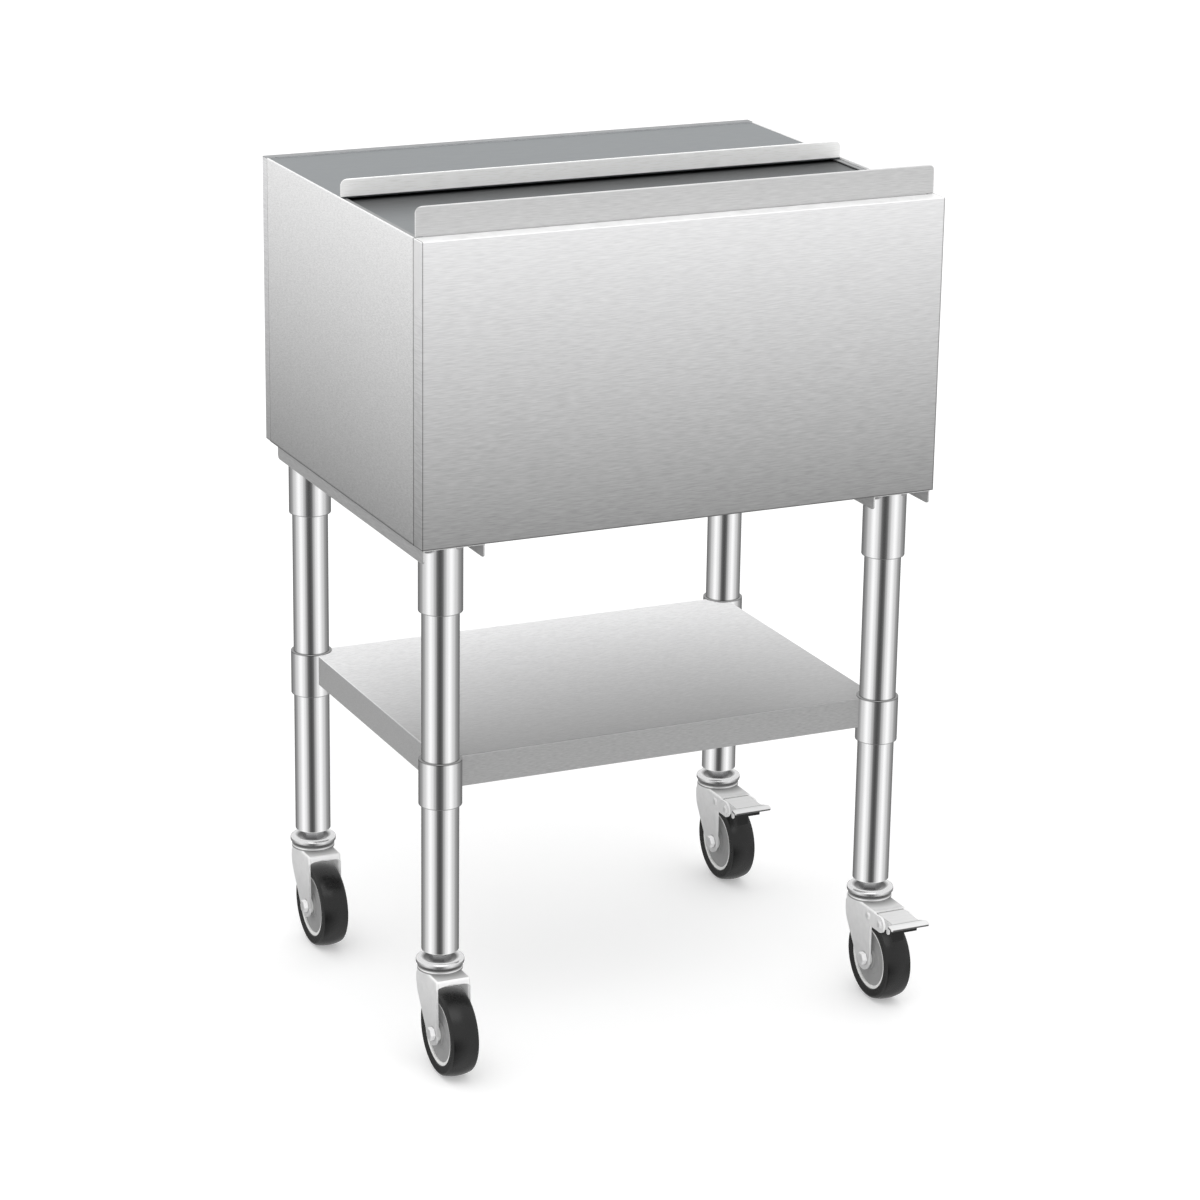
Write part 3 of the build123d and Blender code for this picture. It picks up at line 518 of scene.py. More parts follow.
@dataclass(frozen=True)
class LidSheet(Finish):
    """Fine-ground lid sheet: blue-grey on the flat, brushed on the handle, with painted light
    making the handle paler.

    Attributes:
        flat: Colour of the flat.
        handle: Colour of the handle.
        handle_foot: Level at which the handle starts.
        shade_start: Depth at which the shade before the other lid's handle starts.
        shade_end: Depth at which that shade is deepest.
        shade: How deep the shade is.
        dark: Colour of the shade.
        curve: How late the shade deepens.
        ground: How much less metallic the handle is than the flat.
        grain: Features per metre along X, Y and Z of the strokes.
        fine: How far the strokes stand out on the flat.
        coarse: How much further they stand out on the handle.
        scatter: How far the strokes change the roughness.
        press: Share of the strokes' full relief that shows.
        relief: Height of the strokes in metres.
        edges: Bright edges of the handle.
        gleam: How bright these edges are.
    """

    flat: Colour = (0.27, 0.288, 0.3)
    # handle: Colour of the handle, painted paler than the flat as painted light.
    handle: Colour = (0.6, 0.6, 0.6)
    handle_foot: float = 0.9385
    shade_start: float = 1.0
    shade_end: float = 1.1
    shade: float = 0.0
    dark: Colour = (0.012, 0.013, 0.014)
    curve: float = 1.3
    ground: float = 0.65
    grain: Triple = (60.0, 900.0, 900.0)
    fine: float = 0.06
    coarse: float = 0.4
    scatter: float = 0.12
    press: float = 0.1
    relief: float = 0.00002
    # edges: Painted highlights along the handle's edges.
    edges: Tuple[Seam, ...] = ()
    # gleam: How bright these painted highlights are.
    gleam: float = 0.5

    def sockets(self, graph: Graph) -> Dict[Key, Operand]:
        """Part the flat from the handle, paint the shadow before the other lid's handle, and lay
        strokes over both.

        Args:
            graph: The material's nodes.

        Returns:
            The shader's values by socket.
        """
        strokes = graph.noise(self.grain)
        foot = self.handle_foot
        standing = graph.along(Axis.Z, foot - BEND / 2, foot + BEND / 2)
        # Painted shadow on the flat before the other lid's handle.
        dusk = graph.along(Axis.Y, self.shade_start, self.shade_end) ** self.curve * self.shade
        flat = graph.blend(dusk, opaque(self.flat), opaque(self.dark))
        tone = 1.0 + (strokes - MIDDLE) * (self.fine + standing * self.coarse)
        tone = tone * graph.seams(self.edges, -self.gleam)
        return {
            # The handle's paler colour is painted light on its upright face.
            "Base Color": graph.scaled(graph.blend(standing, flat, opaque(self.handle)), tone),
            "Roughness": self.roughness + (strokes - MIDDLE) * self.scatter,
            "Metallic": self.metallic - standing * self.ground,
            "Normal": graph.bump(strokes, self.press, self.relief),
        }


@dataclass(frozen=True)
class PolishedMetal(Finish):
    """Polished or plated metal with faint haze and fine drawing lines.

    Attributes:
        colour: Colour of the metal.
        dull: Colour of its haze.
        broad: Features per metre of the haze.
        haze: How far the haze stands out.
        onset: Level of the haze's pattern from which it shows.
        gain: How fast it then grows.
        blur: How far the haze changes the roughness.
        lines: Features per metre along X, Y and Z of the drawing lines.
        drawing: How far these lines stand out.
        scatter: How far they change the roughness.
        press: Share of the lines' full relief that shows.
        relief: Height of the lines in metres.
        joints: Dark lines where one piece meets the next, and painted shade in gaps.
        depth: How dark these lines are.
        dish: Distance from the stem within which the metal lies in shade.
        dish_rate: Change of that shade per metre.
        gloom: How deep that shade is.
    """

    colour: Colour = (0.9, 0.9, 0.91)
    dull: Colour = (0.7, 0.7, 0.72)
    broad: float = 45.0
    haze: float = 0.25
    onset: float = 0.42
    gain: float = 1.6
    blur: float = 0.06
    lines: Triple = (900.0, 900.0, 6.0)
    drawing: float = 0.12
    scatter: float = 0.03
    press: float = 0.05
    relief: float = 0.00001
    joints: Tuple[Seam, ...] = ()
    depth: float = 0.8
    dish: float = 0.0
    dish_rate: float = 250.0
    gloom: float = 0.0

    def sockets(self, graph: Graph) -> Dict[Key, Operand]:
        """Lay haze and drawing lines over the metal, with painted shade in the dish and along the
        dark lines.

        Args:
            graph: The material's nodes.

        Returns:
            The shader's values by socket.
        """
        drawn = graph.noise(self.lines)
        cloud = graph.noise(even(self.broad), detail=3.0, roughness=0.6)
        worn = (cloud - self.onset) * self.gain * self.haze + (drawn - MIDDLE) * self.drawing
        metal = graph.blend(worn.clamped(), opaque(self.colour), opaque(self.dull))
        inside = ((self.dish - graph.from_corner(STEM)) * self.dish_rate).clamped()
        shade = 1.0 - inside * self.gloom
        blur = (cloud - MIDDLE) * self.blur
        return {
            # Painted shade in the dish round the stem and along the dark lines.
            "Base Color": graph.scaled(metal, shade * graph.seams(self.joints, self.depth)),
            "Roughness": self.roughness + blur + (drawn - MIDDLE) * self.scatter,
            "Metallic": self.metallic,
            "Normal": graph.bump(drawn, self.press, self.relief),
        }


@dataclass(frozen=True)
class Moulded(Finish):
    """Moulded plastic, rubber or foam with a fine skin and slight mottling.

    Attributes:
        colour: Main colour.
        mottle: Colour of the mottling.
        broad: Features per metre of the mottling.
        gain: How fast the mottling grows from its pattern.
        onset: How much of it is held back.
        scatter: How far the mottling changes the roughness.
        skin: Features per metre of the moulded skin.
        press: Share of the skin's full relief that shows.
        relief: Height of the skin's pattern in metres.
        specular: Strength of the gloss at right angles to the surface.
        metallic: 0, since none of these is metal.
    """

    colour: Colour = (0.5, 0.5, 0.5)
    mottle: Colour = (0.45, 0.45, 0.45)
    broad: float = 60.0
    gain: float = 1.4
    onset: float = 0.2
    scatter: float = 0.12
    skin: float = 1400.0
    press: float = 0.15
    relief: float = 0.00005
    specular: float = 0.5
    metallic: float = 0.0

    def sockets(self, graph: Graph) -> Dict[Key, Operand]:
        """Mottle the colour and roughen the skin.

        Args:
            graph: The material's nodes.

        Returns:
            The shader's values by socket.
        """
        skin = graph.noise(even(self.skin))
        blotch = graph.noise(even(self.broad), detail=3.0, roughness=0.6)
        share = (blotch * self.gain - self.onset).clamped()
        return {
            "Base Color": graph.blend(share, opaque(self.colour), opaque(self.mottle)),
            "Roughness": self.roughness + (blotch - MIDDLE) * self.scatter,
            "Metallic": self.metallic,
            "Specular IOR Level": self.specular,
            "Normal": graph.bump(skin, self.press, self.relief),
        }


# Painted shade: darker towards the bottom; the white rim and the lighter folded sides are painted
# highlights.
FRONT = BrushedSheet(
    "front_steel", roughness=0.42, metallic=0.6,
    low=grey(0.316), high=(0.848, 0.848, 0.853), crest=0.9374, rim=grey(1.0),
    flank=0.3059, lift=0.34, grain=(64.0, 64.0, 900.0), contrast=0.5, fade=0.7,
    joints=(
        (Axis.X, -0.305, 0.001), (Axis.X, 0.305, 0.001),
        (Axis.Z, 0.6088, 0.0012), (Axis.Y, -0.2153, 0.0009),
    ),
)
# Painted shade: darker towards the bottom; the white rim is a painted highlight.
SIDE = BrushedSheet(
    "side_steel", roughness=0.45, metallic=0.3,
    low=grey(0.362), high=grey(0.975), crest=0.9372,
    grain=(200.0, 200.0, 1300.0), contrast=0.65, fade=0.5,
    joints=((Axis.Y, -0.2145, 0.0016), (Axis.Y, 0.223, 0.0016), (Axis.Z, 0.6085, 0.0022)),
)
# Painted shade: darker towards the bottom; the bright line along the back edge is a painted
# highlight.
BACK = BrushedSheet(
    "back_steel", roughness=0.45, metallic=0.5,
    low=grey(0.43), high=(0.97, 0.97, 0.98), crest=0.9374, rim=(0.3, 0.308, 0.315),
    joints=((Axis.Z, 0.6085, 0.0014),), edges=((Axis.Y, 0.2235, 0.0012),),
)
# Painted shade: a little darker towards the bottom; the bright line along the front edge is a
# painted highlight.
BASE = BrushedSheet(
    "base_steel", roughness=0.45, metallic=0.5,
    low=grey(0.46), high=grey(0.51), start=0.59, end=0.61,
    edges=((Axis.Y, -0.2345, 0.0008),),
)
# Painted shade: darker towards the front; the down-turned edge is in painted shade and the folded
# sides are painted highlights.
SHELF = BrushedSheet(
    "shelf_steel", roughness=0.42, metallic=0.6,
    low=grey(0.42), high=(0.98, 0.98, 0.985), axis=Axis.Y, start=-0.197, end=0.197,
    hem=0.3576, skirt=grey(0.39), flank=0.2678, lift=0.44,
    grain=(140.0, 1300.0, 1300.0), contrast=0.62,
)
# Painted shade: darker towards the tub's floor.
TUB = BrushedSheet(
    "tub_steel", roughness=0.4, metallic=0.7,
    low=(0.45, 0.45, 0.455), high=(0.62, 0.62, 0.63), start=0.64, end=0.93,
)
# Painted shade: darker towards the rail's foot.
RAIL = BrushedSheet(
    "rail_steel", roughness=0.4, metallic=0.8,
    low=(0.28, 0.285, 0.29), high=(0.34, 0.345, 0.35), start=0.931, end=0.9356,
    grain=(900.0, 60.0, 900.0),
)
# Painted light on the paler handle, a painted shadow on the flat before the rear lid's handle, and
# painted highlights along the handle's edges.
FRONT_LID = LidSheet(
    "front_lid_steel", roughness=0.38,
    flat=(0.235, 0.251, 0.261), handle=grey(0.56), handle_foot=0.9344,
    shade_start=-0.13, shade_end=-0.006, shade=0.98,
    edges=((Axis.Z, 0.97, 0.0014), (Axis.X, -0.304, 0.0014), (Axis.X, 0.304, 0.0014)),
)
# Painted light on the near-white handle, and painted highlights along its edges.
REAR_LID = LidSheet(
    "rear_lid_steel", roughness=0.38,
    flat=(0.24, 0.257, 0.269), handle=(1.0, 1.0, 0.99), handle_foot=0.9376, ground=0.85,
    edges=((Axis.Z, 0.9565, 0.0014), (Axis.Y, 0.2225, 0.001)),
)
# Dark lines at the ends of the sockets and collars: joints, with painted contact shade on the legs
# next to them.
TUBE = PolishedMetal(
    "tube_steel", roughness=0.09,
    colour=(0.93, 0.93, 0.935), dull=(0.8, 0.8, 0.81), haze=0.15,
    joints=((Axis.Z, 0.359, 0.0015), (Axis.Z, 0.307, 0.0015), (Axis.Z, 0.527, 0.0015)),
)
# Painted shade: darker towards the axle, with painted shade in the gap under the cap and at the
# race's foot.
FORK = PlatedFork(
    "fork_nickel", roughness=0.36, metallic=0.35,
    low=grey(0.68), high=grey(0.98), start=0.03, end=0.112,
    grain=even(130.0), contrast=0.14, depth=0.95,
    joints=((Axis.Z, 0.1199, 0.0022), (Axis.Z, 0.1203, 0.003), (Axis.Z, 0.1159, 0.0009)),
)
# Painted light: the lip is lighter than the plate; the dark lines are painted shade along the
# crease and edges and at the plate's rear end.
PEDAL = BrushedSheet(
    "pedal_nickel", roughness=0.34, metallic=0.35,
    low=grey(0.88), high=grey(0.76), start=0.1127, end=0.1134,
    grain=(40.0, 300.0, 300.0), contrast=0.2, depth=0.9,
    joints=(
        (Axis.Y, -0.246, 0.004), (Axis.Y, 0.148, 0.004),
        (Axis.Y, -0.284, 0.0006), (Axis.Y, 0.11, 0.0006),
        (Axis.X, 0.243, 0.0007), (Axis.X, 0.293, 0.0007),
        (Axis.Y, -0.295, 0.0005), (Axis.Y, 0.099, 0.0005),
    ),
)
# Painted shade along the cap's lower edge over the race, and in the dish round the stem.
BRIGHT_NICKEL = PolishedMetal(
    "bright_nickel", roughness=0.16, metallic=0.85,
    colour=(0.76, 0.76, 0.765), dull=(0.52, 0.52, 0.53), lines=(60.0, 60.0, 900.0),
    joints=((Axis.Z, 0.1207, 0.0042), (Axis.Z, 0.1207, 0.0026)), depth=1.0,
    dish=0.0215, gloom=0.88,
)
# A darker copy of the zinc: painted shade on the studs in the caps' dishes.
STUD = PolishedMetal(
    "stud_zinc", roughness=0.24, metallic=0.9,
    colour=(0.34, 0.34, 0.345), dull=(0.12, 0.12, 0.125), lines=even(300.0), haze=0.8,
)
ZINC = PolishedMetal(
    "zinc", roughness=0.3, metallic=0.6,
    colour=grey(0.88), dull=(0.66, 0.66, 0.67), lines=even(300.0), haze=0.4,
)
DRAIN = PolishedMetal(
    "drain_metal", roughness=0.22,
    colour=(0.82, 0.82, 0.83), dull=(0.62, 0.62, 0.63), lines=(60.0, 60.0, 900.0),
)
FOAM = Moulded(
    "foam", roughness=0.85, colour=(0.78, 0.68, 0.42), mottle=(0.7, 0.6, 0.34),
    skin=500.0, relief=0.0004, specular=0.2,
)
GASKET = Moulded(
    "gasket_rubber", roughness=0.6, colour=grey(0.02), mottle=grey(0.03), specular=0.3,
)
INSERT = Moulded(
    "insert_plastic", roughness=0.5,
    colour=(0.02, 0.02, 0.021), mottle=(0.03, 0.03, 0.031), specular=0.3,
)
RIM_WHITE = Moulded(
    "wheel_white", roughness=0.4,
    colour=(0.9, 0.9, 0.89), mottle=(0.84, 0.84, 0.83), specular=0.4,
)
HUB_GREY = Moulded(
    "hub_grey", roughness=0.5, colour=grey(0.34), mottle=grey(0.27), specular=0.35,
)
TREAD = Moulded(
    "tread", roughness=0.27, colour=grey(0.003), mottle=grey(0.009), relief=0.00008, specular=0.4,
)
BRAKE_BLACK = Moulded(
    "brake_black", roughness=0.45, colour=grey(0.009), mottle=grey(0.014), specular=0.25,
)


def dress(finish: Finish, *nodes: str) -> None:
    """Give carried-over nodes a finish.

    Args:
        finish: The finish.
        nodes: Names of the nodes.
    """
    for name in nodes:
        for seat in frame["nodes"][name].material_slots:
            seat.material = finish.material()
        LOG.info("dressed %s in %s", name, finish.name)


def once(things: Iterable[Thing]) -> List[Thing]:
    """Return things in their order, each only once."""
    return list(dict.fromkeys(things))


def millimetres(*corners: Corner) -> List[Corner]:
    """Return corners that are given in millimetres, in metres."""
    return [(across * MM, up * MM, radius * MM) for across, up, radius in corners]


def axes(origin: Triple, right: Triple, up: Triple) -> Matrix:
    """Return a place from its origin and its X and Y directions.

    Args:
        origin: Where the drawing's origin goes.
        right: Where the drawing's X points.
        up: Where the drawing's Y points.

    Returns:
        The matrix that puts a drawing there.
    """
    x, y = Vector(right), Vector(up)
    turn = Matrix((x, y, x.cross(y))).transposed().to_4x4()
    return Matrix.Translation(origin) @ turn


def upright(place: Place = (0.0, 0.0)) -> Matrix:
    """Return the place of a drawing that stands on end over a point of the floor."""
    return axes((place[0], place[1], 0.0), RIGHT, UP)


class Piece:
    """One mesh in the making. It is drawn flat or round its own axis, then put in place."""

    def __init__(self) -> None:
        """Start with an empty mesh."""
        self.mesh = bmesh.new()

    def outline(self, corners: Sequence[Corner], steps: int = 8) -> List[bmesh.types.BMEdge]:
        """Draw a closed outline in the XY plane, rounding each corner by its own radius.

        Args:
            corners: Across, up and radius of each corner, in order round the outline.
            steps: Edges of each rounded corner.

        Returns:
            The edges of the outline.
        """
        trail: List[bmesh.types.BMVert] = []
        count = len(corners)
        for i, (x, y, radius) in enumerate(corners):
            here = Vector((x, y, 0.0))
            back = (Vector(corners[i - 1][:2] + (0.0,)) - here).normalized()
            onward = (Vector(corners[(i + 1) % count][:2] + (0.0,)) - here).normalized()
            if radius == 0.0:
                self._step(trail, here)
                continue
            half = back.angle(onward) / 2
            centre = here + (back + onward).normalized() * (radius / math.sin(half))
            first = self._step(trail, here + back * (radius / math.tan(half)))
            turn = math.copysign(math.pi - 2 * half, onward.cross(back).z)
            bmesh.ops.spin(
                self.mesh, geom=[first], cent=centre, axis=(0.0, 0.0, 1.0), angle=turn, steps=steps,
            )
            trail.extend(self._onward(first))
        if (trail[0].co - trail[-1].co).length < TOUCH:
            spare = trail.pop()
            bmesh.ops.weld_verts(self.mesh, targetmap={spare: trail[0]})
        else:
            self.mesh.edges.new((trail[-1], trail[0]))
        return once(edge for vert in trail for edge in vert.link_edges)

    def _step(self, trail: List[bmesh.types.BMVert], point: Vector) -> bmesh.types.BMVert:
        """Go on to a point of the outline.

        Args:
            trail: The points so far, which the new one joins.
            point: Where to go.

        Returns:
            The vertex there; the last one if it is already there.
        """
        if trail and (trail[-1].co - point).length < TOUCH:
            return trail[-1]
        vert = self.mesh.verts.new(point)
        if trail:
            self.mesh.edges.new((trail[-1], vert))
        trail.append(vert)
        return vert

    @staticmethod
    def _onward(first: bmesh.types.BMVert) -> List[bmesh.types.BMVert]:
        """Follow a freshly spun arc.

        Args:
            first: The arc's first vertex.

        Returns:
            The arc's other vertices in order.
        """
        found: List[bmesh.types.BMVert] = []
        last, edge = first, first.link_edges[-1]
        while edge is not None:
            vert = edge.other_vert(last)
            found.append(vert)
            last, edge = vert, next((e for e in vert.link_edges if e is not edge), None)
        return found

    def slab(self, corners: Sequence[Corner], start: float, end: float, steps: int = 8) -> None:
        """Draw an outline and thicken it along Z.

        Args:
            corners: The outline, as in outline().
            start: Z of the first face.
            end: Z of the second face.
            steps: Edges of each rounded corner.
        """
        edges = self.outline(corners, steps)
        face = bmesh.ops.contextual_create(self.mesh, geom=edges)["faces"][0]
        verts = list(face.verts)
        bmesh.ops.translate(self.mesh, verts=verts, vec=(0.0, 0.0, start))
        raised = bmesh.ops.extrude_face_region(self.mesh, geom=[face], use_keep_orig=True)["geom"]
        tops = [g for g in raised if isinstance(g, bmesh.types.BMVert)]
        bmesh.ops.translate(self.mesh, verts=tops, vec=(0.0, 0.0, end - start))
        faces = once(f for v in verts + tops for f in v.link_faces)
        bmesh.ops.recalc_face_normals(self.mesh, faces=faces)

    def turned(self, corners: Sequence[Corner], steps: int = 96, round_steps: int = 6) -> None:
        """Turn a section round the Y axis.

        Args:
            corners: Radius, height and rounding of each corner of the section.
            steps: Steps of the full turn.
            round_steps: Edges of each rounded corner.
        """
        edges = self.outline(corners, round_steps)
        verts = once(v for e in edges for v in e.verts)
        bmesh.ops.spin(
            self.mesh, geom=verts + edges, cent=(0.0, 0.0, 0.0), axis=(0.0, 1.0, 0.0),
            angle=math.tau, steps=steps, use_merge=True,
        )
        bmesh.ops.remove_doubles(self.mesh, verts=self.mesh.verts[:], dist=TOUCH)
        bmesh.ops.recalc_face_normals(self.mesh, faces=self.mesh.faces[:])

    def hexagon(self, flats: float, start: float, end: float, chamfer: float) -> None:
        """Add a hexagon along Z, chamfered round its outer end.

        Args:
            flats: Width across the flats.
            start: Z of the seat.
            end: Z of the outer end.
            chamfer: Width of the chamfer.
        """
        radius = flats / math.sqrt(3.0)
        made = bmesh.ops.create_cone(
            self.mesh, cap_ends=True, segments=6, radius1=radius, radius2=radius,
            depth=abs(end - start), matrix=Matrix.Translation((0.0, 0.0, (start + end) / 2)),
        )["verts"]
        faces = once(f for v in made for f in v.link_faces)
        outwards = math.copysign(1.0, end - start)
        outer = max(faces, key=lambda f: f.calc_center_median().z * outwards)
        self.bevel(outer.edges[:], chamfer, segments=2)

    def bevel(self, edges: List[bmesh.types.BMEdge], width: float, segments: int) -> None:
        """Round some edges.

        Args:
            edges: The edges.
            width: Width of the rounding.
            segments: Steps of the rounding.
        """
        bmesh.ops.bevel(
            self.mesh, geom=edges, offset=width, offset_type="OFFSET", affect="EDGES",
            segments=segments, profile=0.5, clamp_overlap=True, material=-1,
        )

    def soften(self, width: float, segments: int = 2, angle: float = 50.0) -> None:
        """Round the sharp edges of the whole mesh a little.

        Args:
            width: Width of the rounding.
            segments: Steps of the rounding.
            angle: Edges that turn by more degrees than this are rounded.
        """
        least = math.radians(angle)
        edges = (e for e in self.mesh.edges if e.is_manifold)
        self.bevel([e for e in edges if e.calc_face_angle(0.0) > least], width, segments)

    def split(self, level: float) -> None:
        """Cut the faces along a level of the drawing's Y.

        Args:
            level: Where to cut.
        """
        mesh = self.mesh
        bmesh.ops.bisect_plane(
            mesh, geom=mesh.verts[:] + mesh.edges[:] + mesh.faces[:],
            plane_co=(0.0, level, 0.0), plane_no=(0.0, 1.0, 0.0),
        )

    def put(self, place: Matrix) -> "Piece":
        """Move the whole mesh by a matrix and return the piece."""
        bmesh.ops.transform(self.mesh, matrix=place, verts=self.mesh.verts[:])
        return self

    def take(self, other: "Piece") -> "Piece":
        """Add a copy of another piece's mesh.

        Args:
            other: The other piece.

        Returns:
            This piece.
        """
        spare = bpy.data.meshes.new("spare")
        other.mesh.to_mesh(spare)
        self.mesh.from_mesh(spare)
        bpy.data.meshes.remove(spare)
        return self

    @staticmethod
    def _flows(edge: bmesh.types.BMEdge) -> bool:
        """Tell whether the shading runs on over an edge.

        Args:
            edge: The edge between two faces.

        Returns:
            False for sharp edges, and where a large flat meets a narrow rounding.
        """
        turn = math.degrees(edge.calc_face_angle(0.0))
        sizes = sorted(face.calc_area() for face in edge.link_faces)
        uneven = turn > SLIGHT_TURN and sizes[0] * UNEVEN < sizes[-1]
        return turn < SHARP_TURN and not uneven

    def _settle(self) -> None:
        """List points and faces in an order that is the same in each run."""
        spots = {v: tuple(round(c, DECIMALS) for c in v.co) for v in self.mesh.verts}
        around = {v: sorted(spots[e.other_vert(v)] for e in v.link_edges) for v in spots}
        ordered = sorted(spots, key=lambda v: (spots[v], around[v]))
        rank = {vert: i for i, vert in enumerate(ordered)}
        rings: List[List[int]] = []
        for face in self.mesh.faces:
            ring = [rank[vert] for vert in face.verts]
            step = 2 if len(ring) == QUAD else 1
            first = min(range(0, len(ring), step), key=ring.__getitem__)
            rings.append(ring[first:] + ring[:first])
        fresh = bmesh.new()
        points = [fresh.verts.new(spots[vert]) for vert in ordered]
        for ring in sorted(rings):
            fresh.faces.new([points[i] for i in ring])
        fresh.normal_update()
        self.mesh.free()
        self.mesh = fresh

    def finish(self, name: str, coat: Finish, body: str, slot: str, *nodes: str) -> None:
        """Make the mesh an object of the scene.

        Args:
            name: The object's name.
            coat: Its finish.
            body: The body that it moves with.
            slot: Not used.
            nodes: The nodes that it stands for.
        """
        self._settle()
        for face in self.mesh.faces:
            face.smooth = True
        for edge in self.mesh.edges:
            edge.smooth = self._flows(edge)
        mesh = bpy.data.meshes.new(name)
        self.mesh.to_mesh(mesh)
        self.mesh.free()
        mesh.materials.append(coat.material())
        made = bpy.data.objects.new(name, mesh)
        bpy.context.scene.collection.objects.link(made)
        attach(made, body)
        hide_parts(*nodes)
        LOG.info("built %s: %d faces on %s", name, len(mesh.polygons), body)


@dataclass
class BinShell:
    """The insulated bin: panels, base, tub, rails and drain.

    Attributes:
        sides: Nodes of the side panels.
        rails: Nodes of the lids' rails.
        inside: Nodes of the tub's own sheet.
        drain: Nodes of the drain's metal.
    """

    sides: Tuple[str, ...] = ("left_side_panel", "right_side_panel")
    rails: Tuple[str, ...] = ("left_lid_rail", "right_lid_rail")
    inside: Tuple[str, ...] = ("ice_tub", "drain_strainer")
    drain: Tuple[str, ...] = ("drain_body", "drain_nut")

    def build(self) -> None:
        """Dress the bin's sheet metal and drain."""
        dress(FRONT, "front_panel")
        dress(SIDE, *self.sides)
        dress(BACK, "back_panel")
        dress(BASE, "base_panel")
        dress(RAIL, *self.rails)
        dress(TUB, *self.inside)
        dress(DRAIN, *self.drain)
        dress(GASKET, "drain_gasket")
        dress(FOAM, "foam_insulation")


@dataclass
class SlidingLid:
    """A lid that slides in the rails, with an upturned handle along its front.

    Attributes:
        name: Name of the node and its body.
        coat: The lid's finish.
        half: Half width of the flat.
        front: Y of the handle's front.
        back: Y of the flat's back edge.
        under: Z of the flat's underside.
        neck: Half width of the handle where it leaves the flat.
        lift: Z at which the handle widens.
        handle: Half width of the handle.
        top: Z of the handle's top.
        back_corner: Radius of the flat's back corners.
        corner: Radius of the handle's upper corners.
        low_corner: Radius of the handle's lower corners.
        hem: Depth of the fold along the handle's top.
        hem_corner: Radius of the fold's corners.
        sheet: Thickness of the sheet.
    """

    name: str
    coat: Finish
    half: float
    front: float
    back: float
    under: float
    neck: float
    lift: float
    handle: float
    top: float
    back_corner: float = 3.0 * MM
    corner: float = 7.0 * MM
    low_corner: float = 0.8 * MM
    hem: float = 10.0 * MM
    hem_corner: float = 0.5 * MM
    sheet: float = 1.2 * MM

    def build(self) -> None:
        """Fold the flat, the handle and the hem from sheet."""
        lid = self._handle()
        lid.take(self._flat()).take(self._hem())
        lid.finish(self.name + "_sheet", self.coat, self.name, "lid_steel", self.name)

    def _flat(self) -> Piece:
        """Cut the flat of the lid.

        Returns:
            The flat, in place.
        """
        flat = Piece()
        flat.slab(
            [
                (-self.half, self.front, 0.0),
                (self.half, self.front, 0.0),
                (self.half, self.back, self.back_corner),
                (-self.half, self.back, self.back_corner),
            ],
            self.under,
            self.under + self.sheet,
        )
        flat.soften(width=0.3 * MM)
        return flat

    def _handle(self) -> Piece:
        """Cut the upturned handle with its rounded corners.

        Returns:
            The handle, in place.
        """
        handle = Piece()
        handle.slab(
            [
                (-self.neck, self.under, 0.0),
                (self.neck, self.under, 0.0),
                (self.neck, self.lift, 0.0),
                (self.handle, self.lift, self.low_corner),
                (self.handle, self.top, self.corner),
                (-self.handle, self.top, self.corner),
                (-self.handle, self.lift, self.low_corner),
                (-self.neck, self.lift, 0.0),
            ],
            0.0,
            self.sheet,
            steps=10,
        )
        handle.soften(width=0.45 * MM, segments=3)
        return handle.put(upright((0.0, self.front + self.sheet)))

    def _hem(self) -> Piece:
        """Cut the fold behind the handle's top.

        Returns:
            The fold, in place.
        """
        fold = Piece()
        reach = self.handle - self.corner
        fold.slab(
            [
                (-reach, self.top - self.hem, self.hem_corner),
                (reach, self.top - self.hem, self.hem_corner),
                (reach, self.top, self.hem_corner),
                (-reach, self.top, self.hem_corner),
            ],
            0.0,
            self.sheet,
        )
        fold.soften(width=0.4 * MM, segments=3)
        return fold.put(upright((0.0, self.front + 2 * self.sheet)))


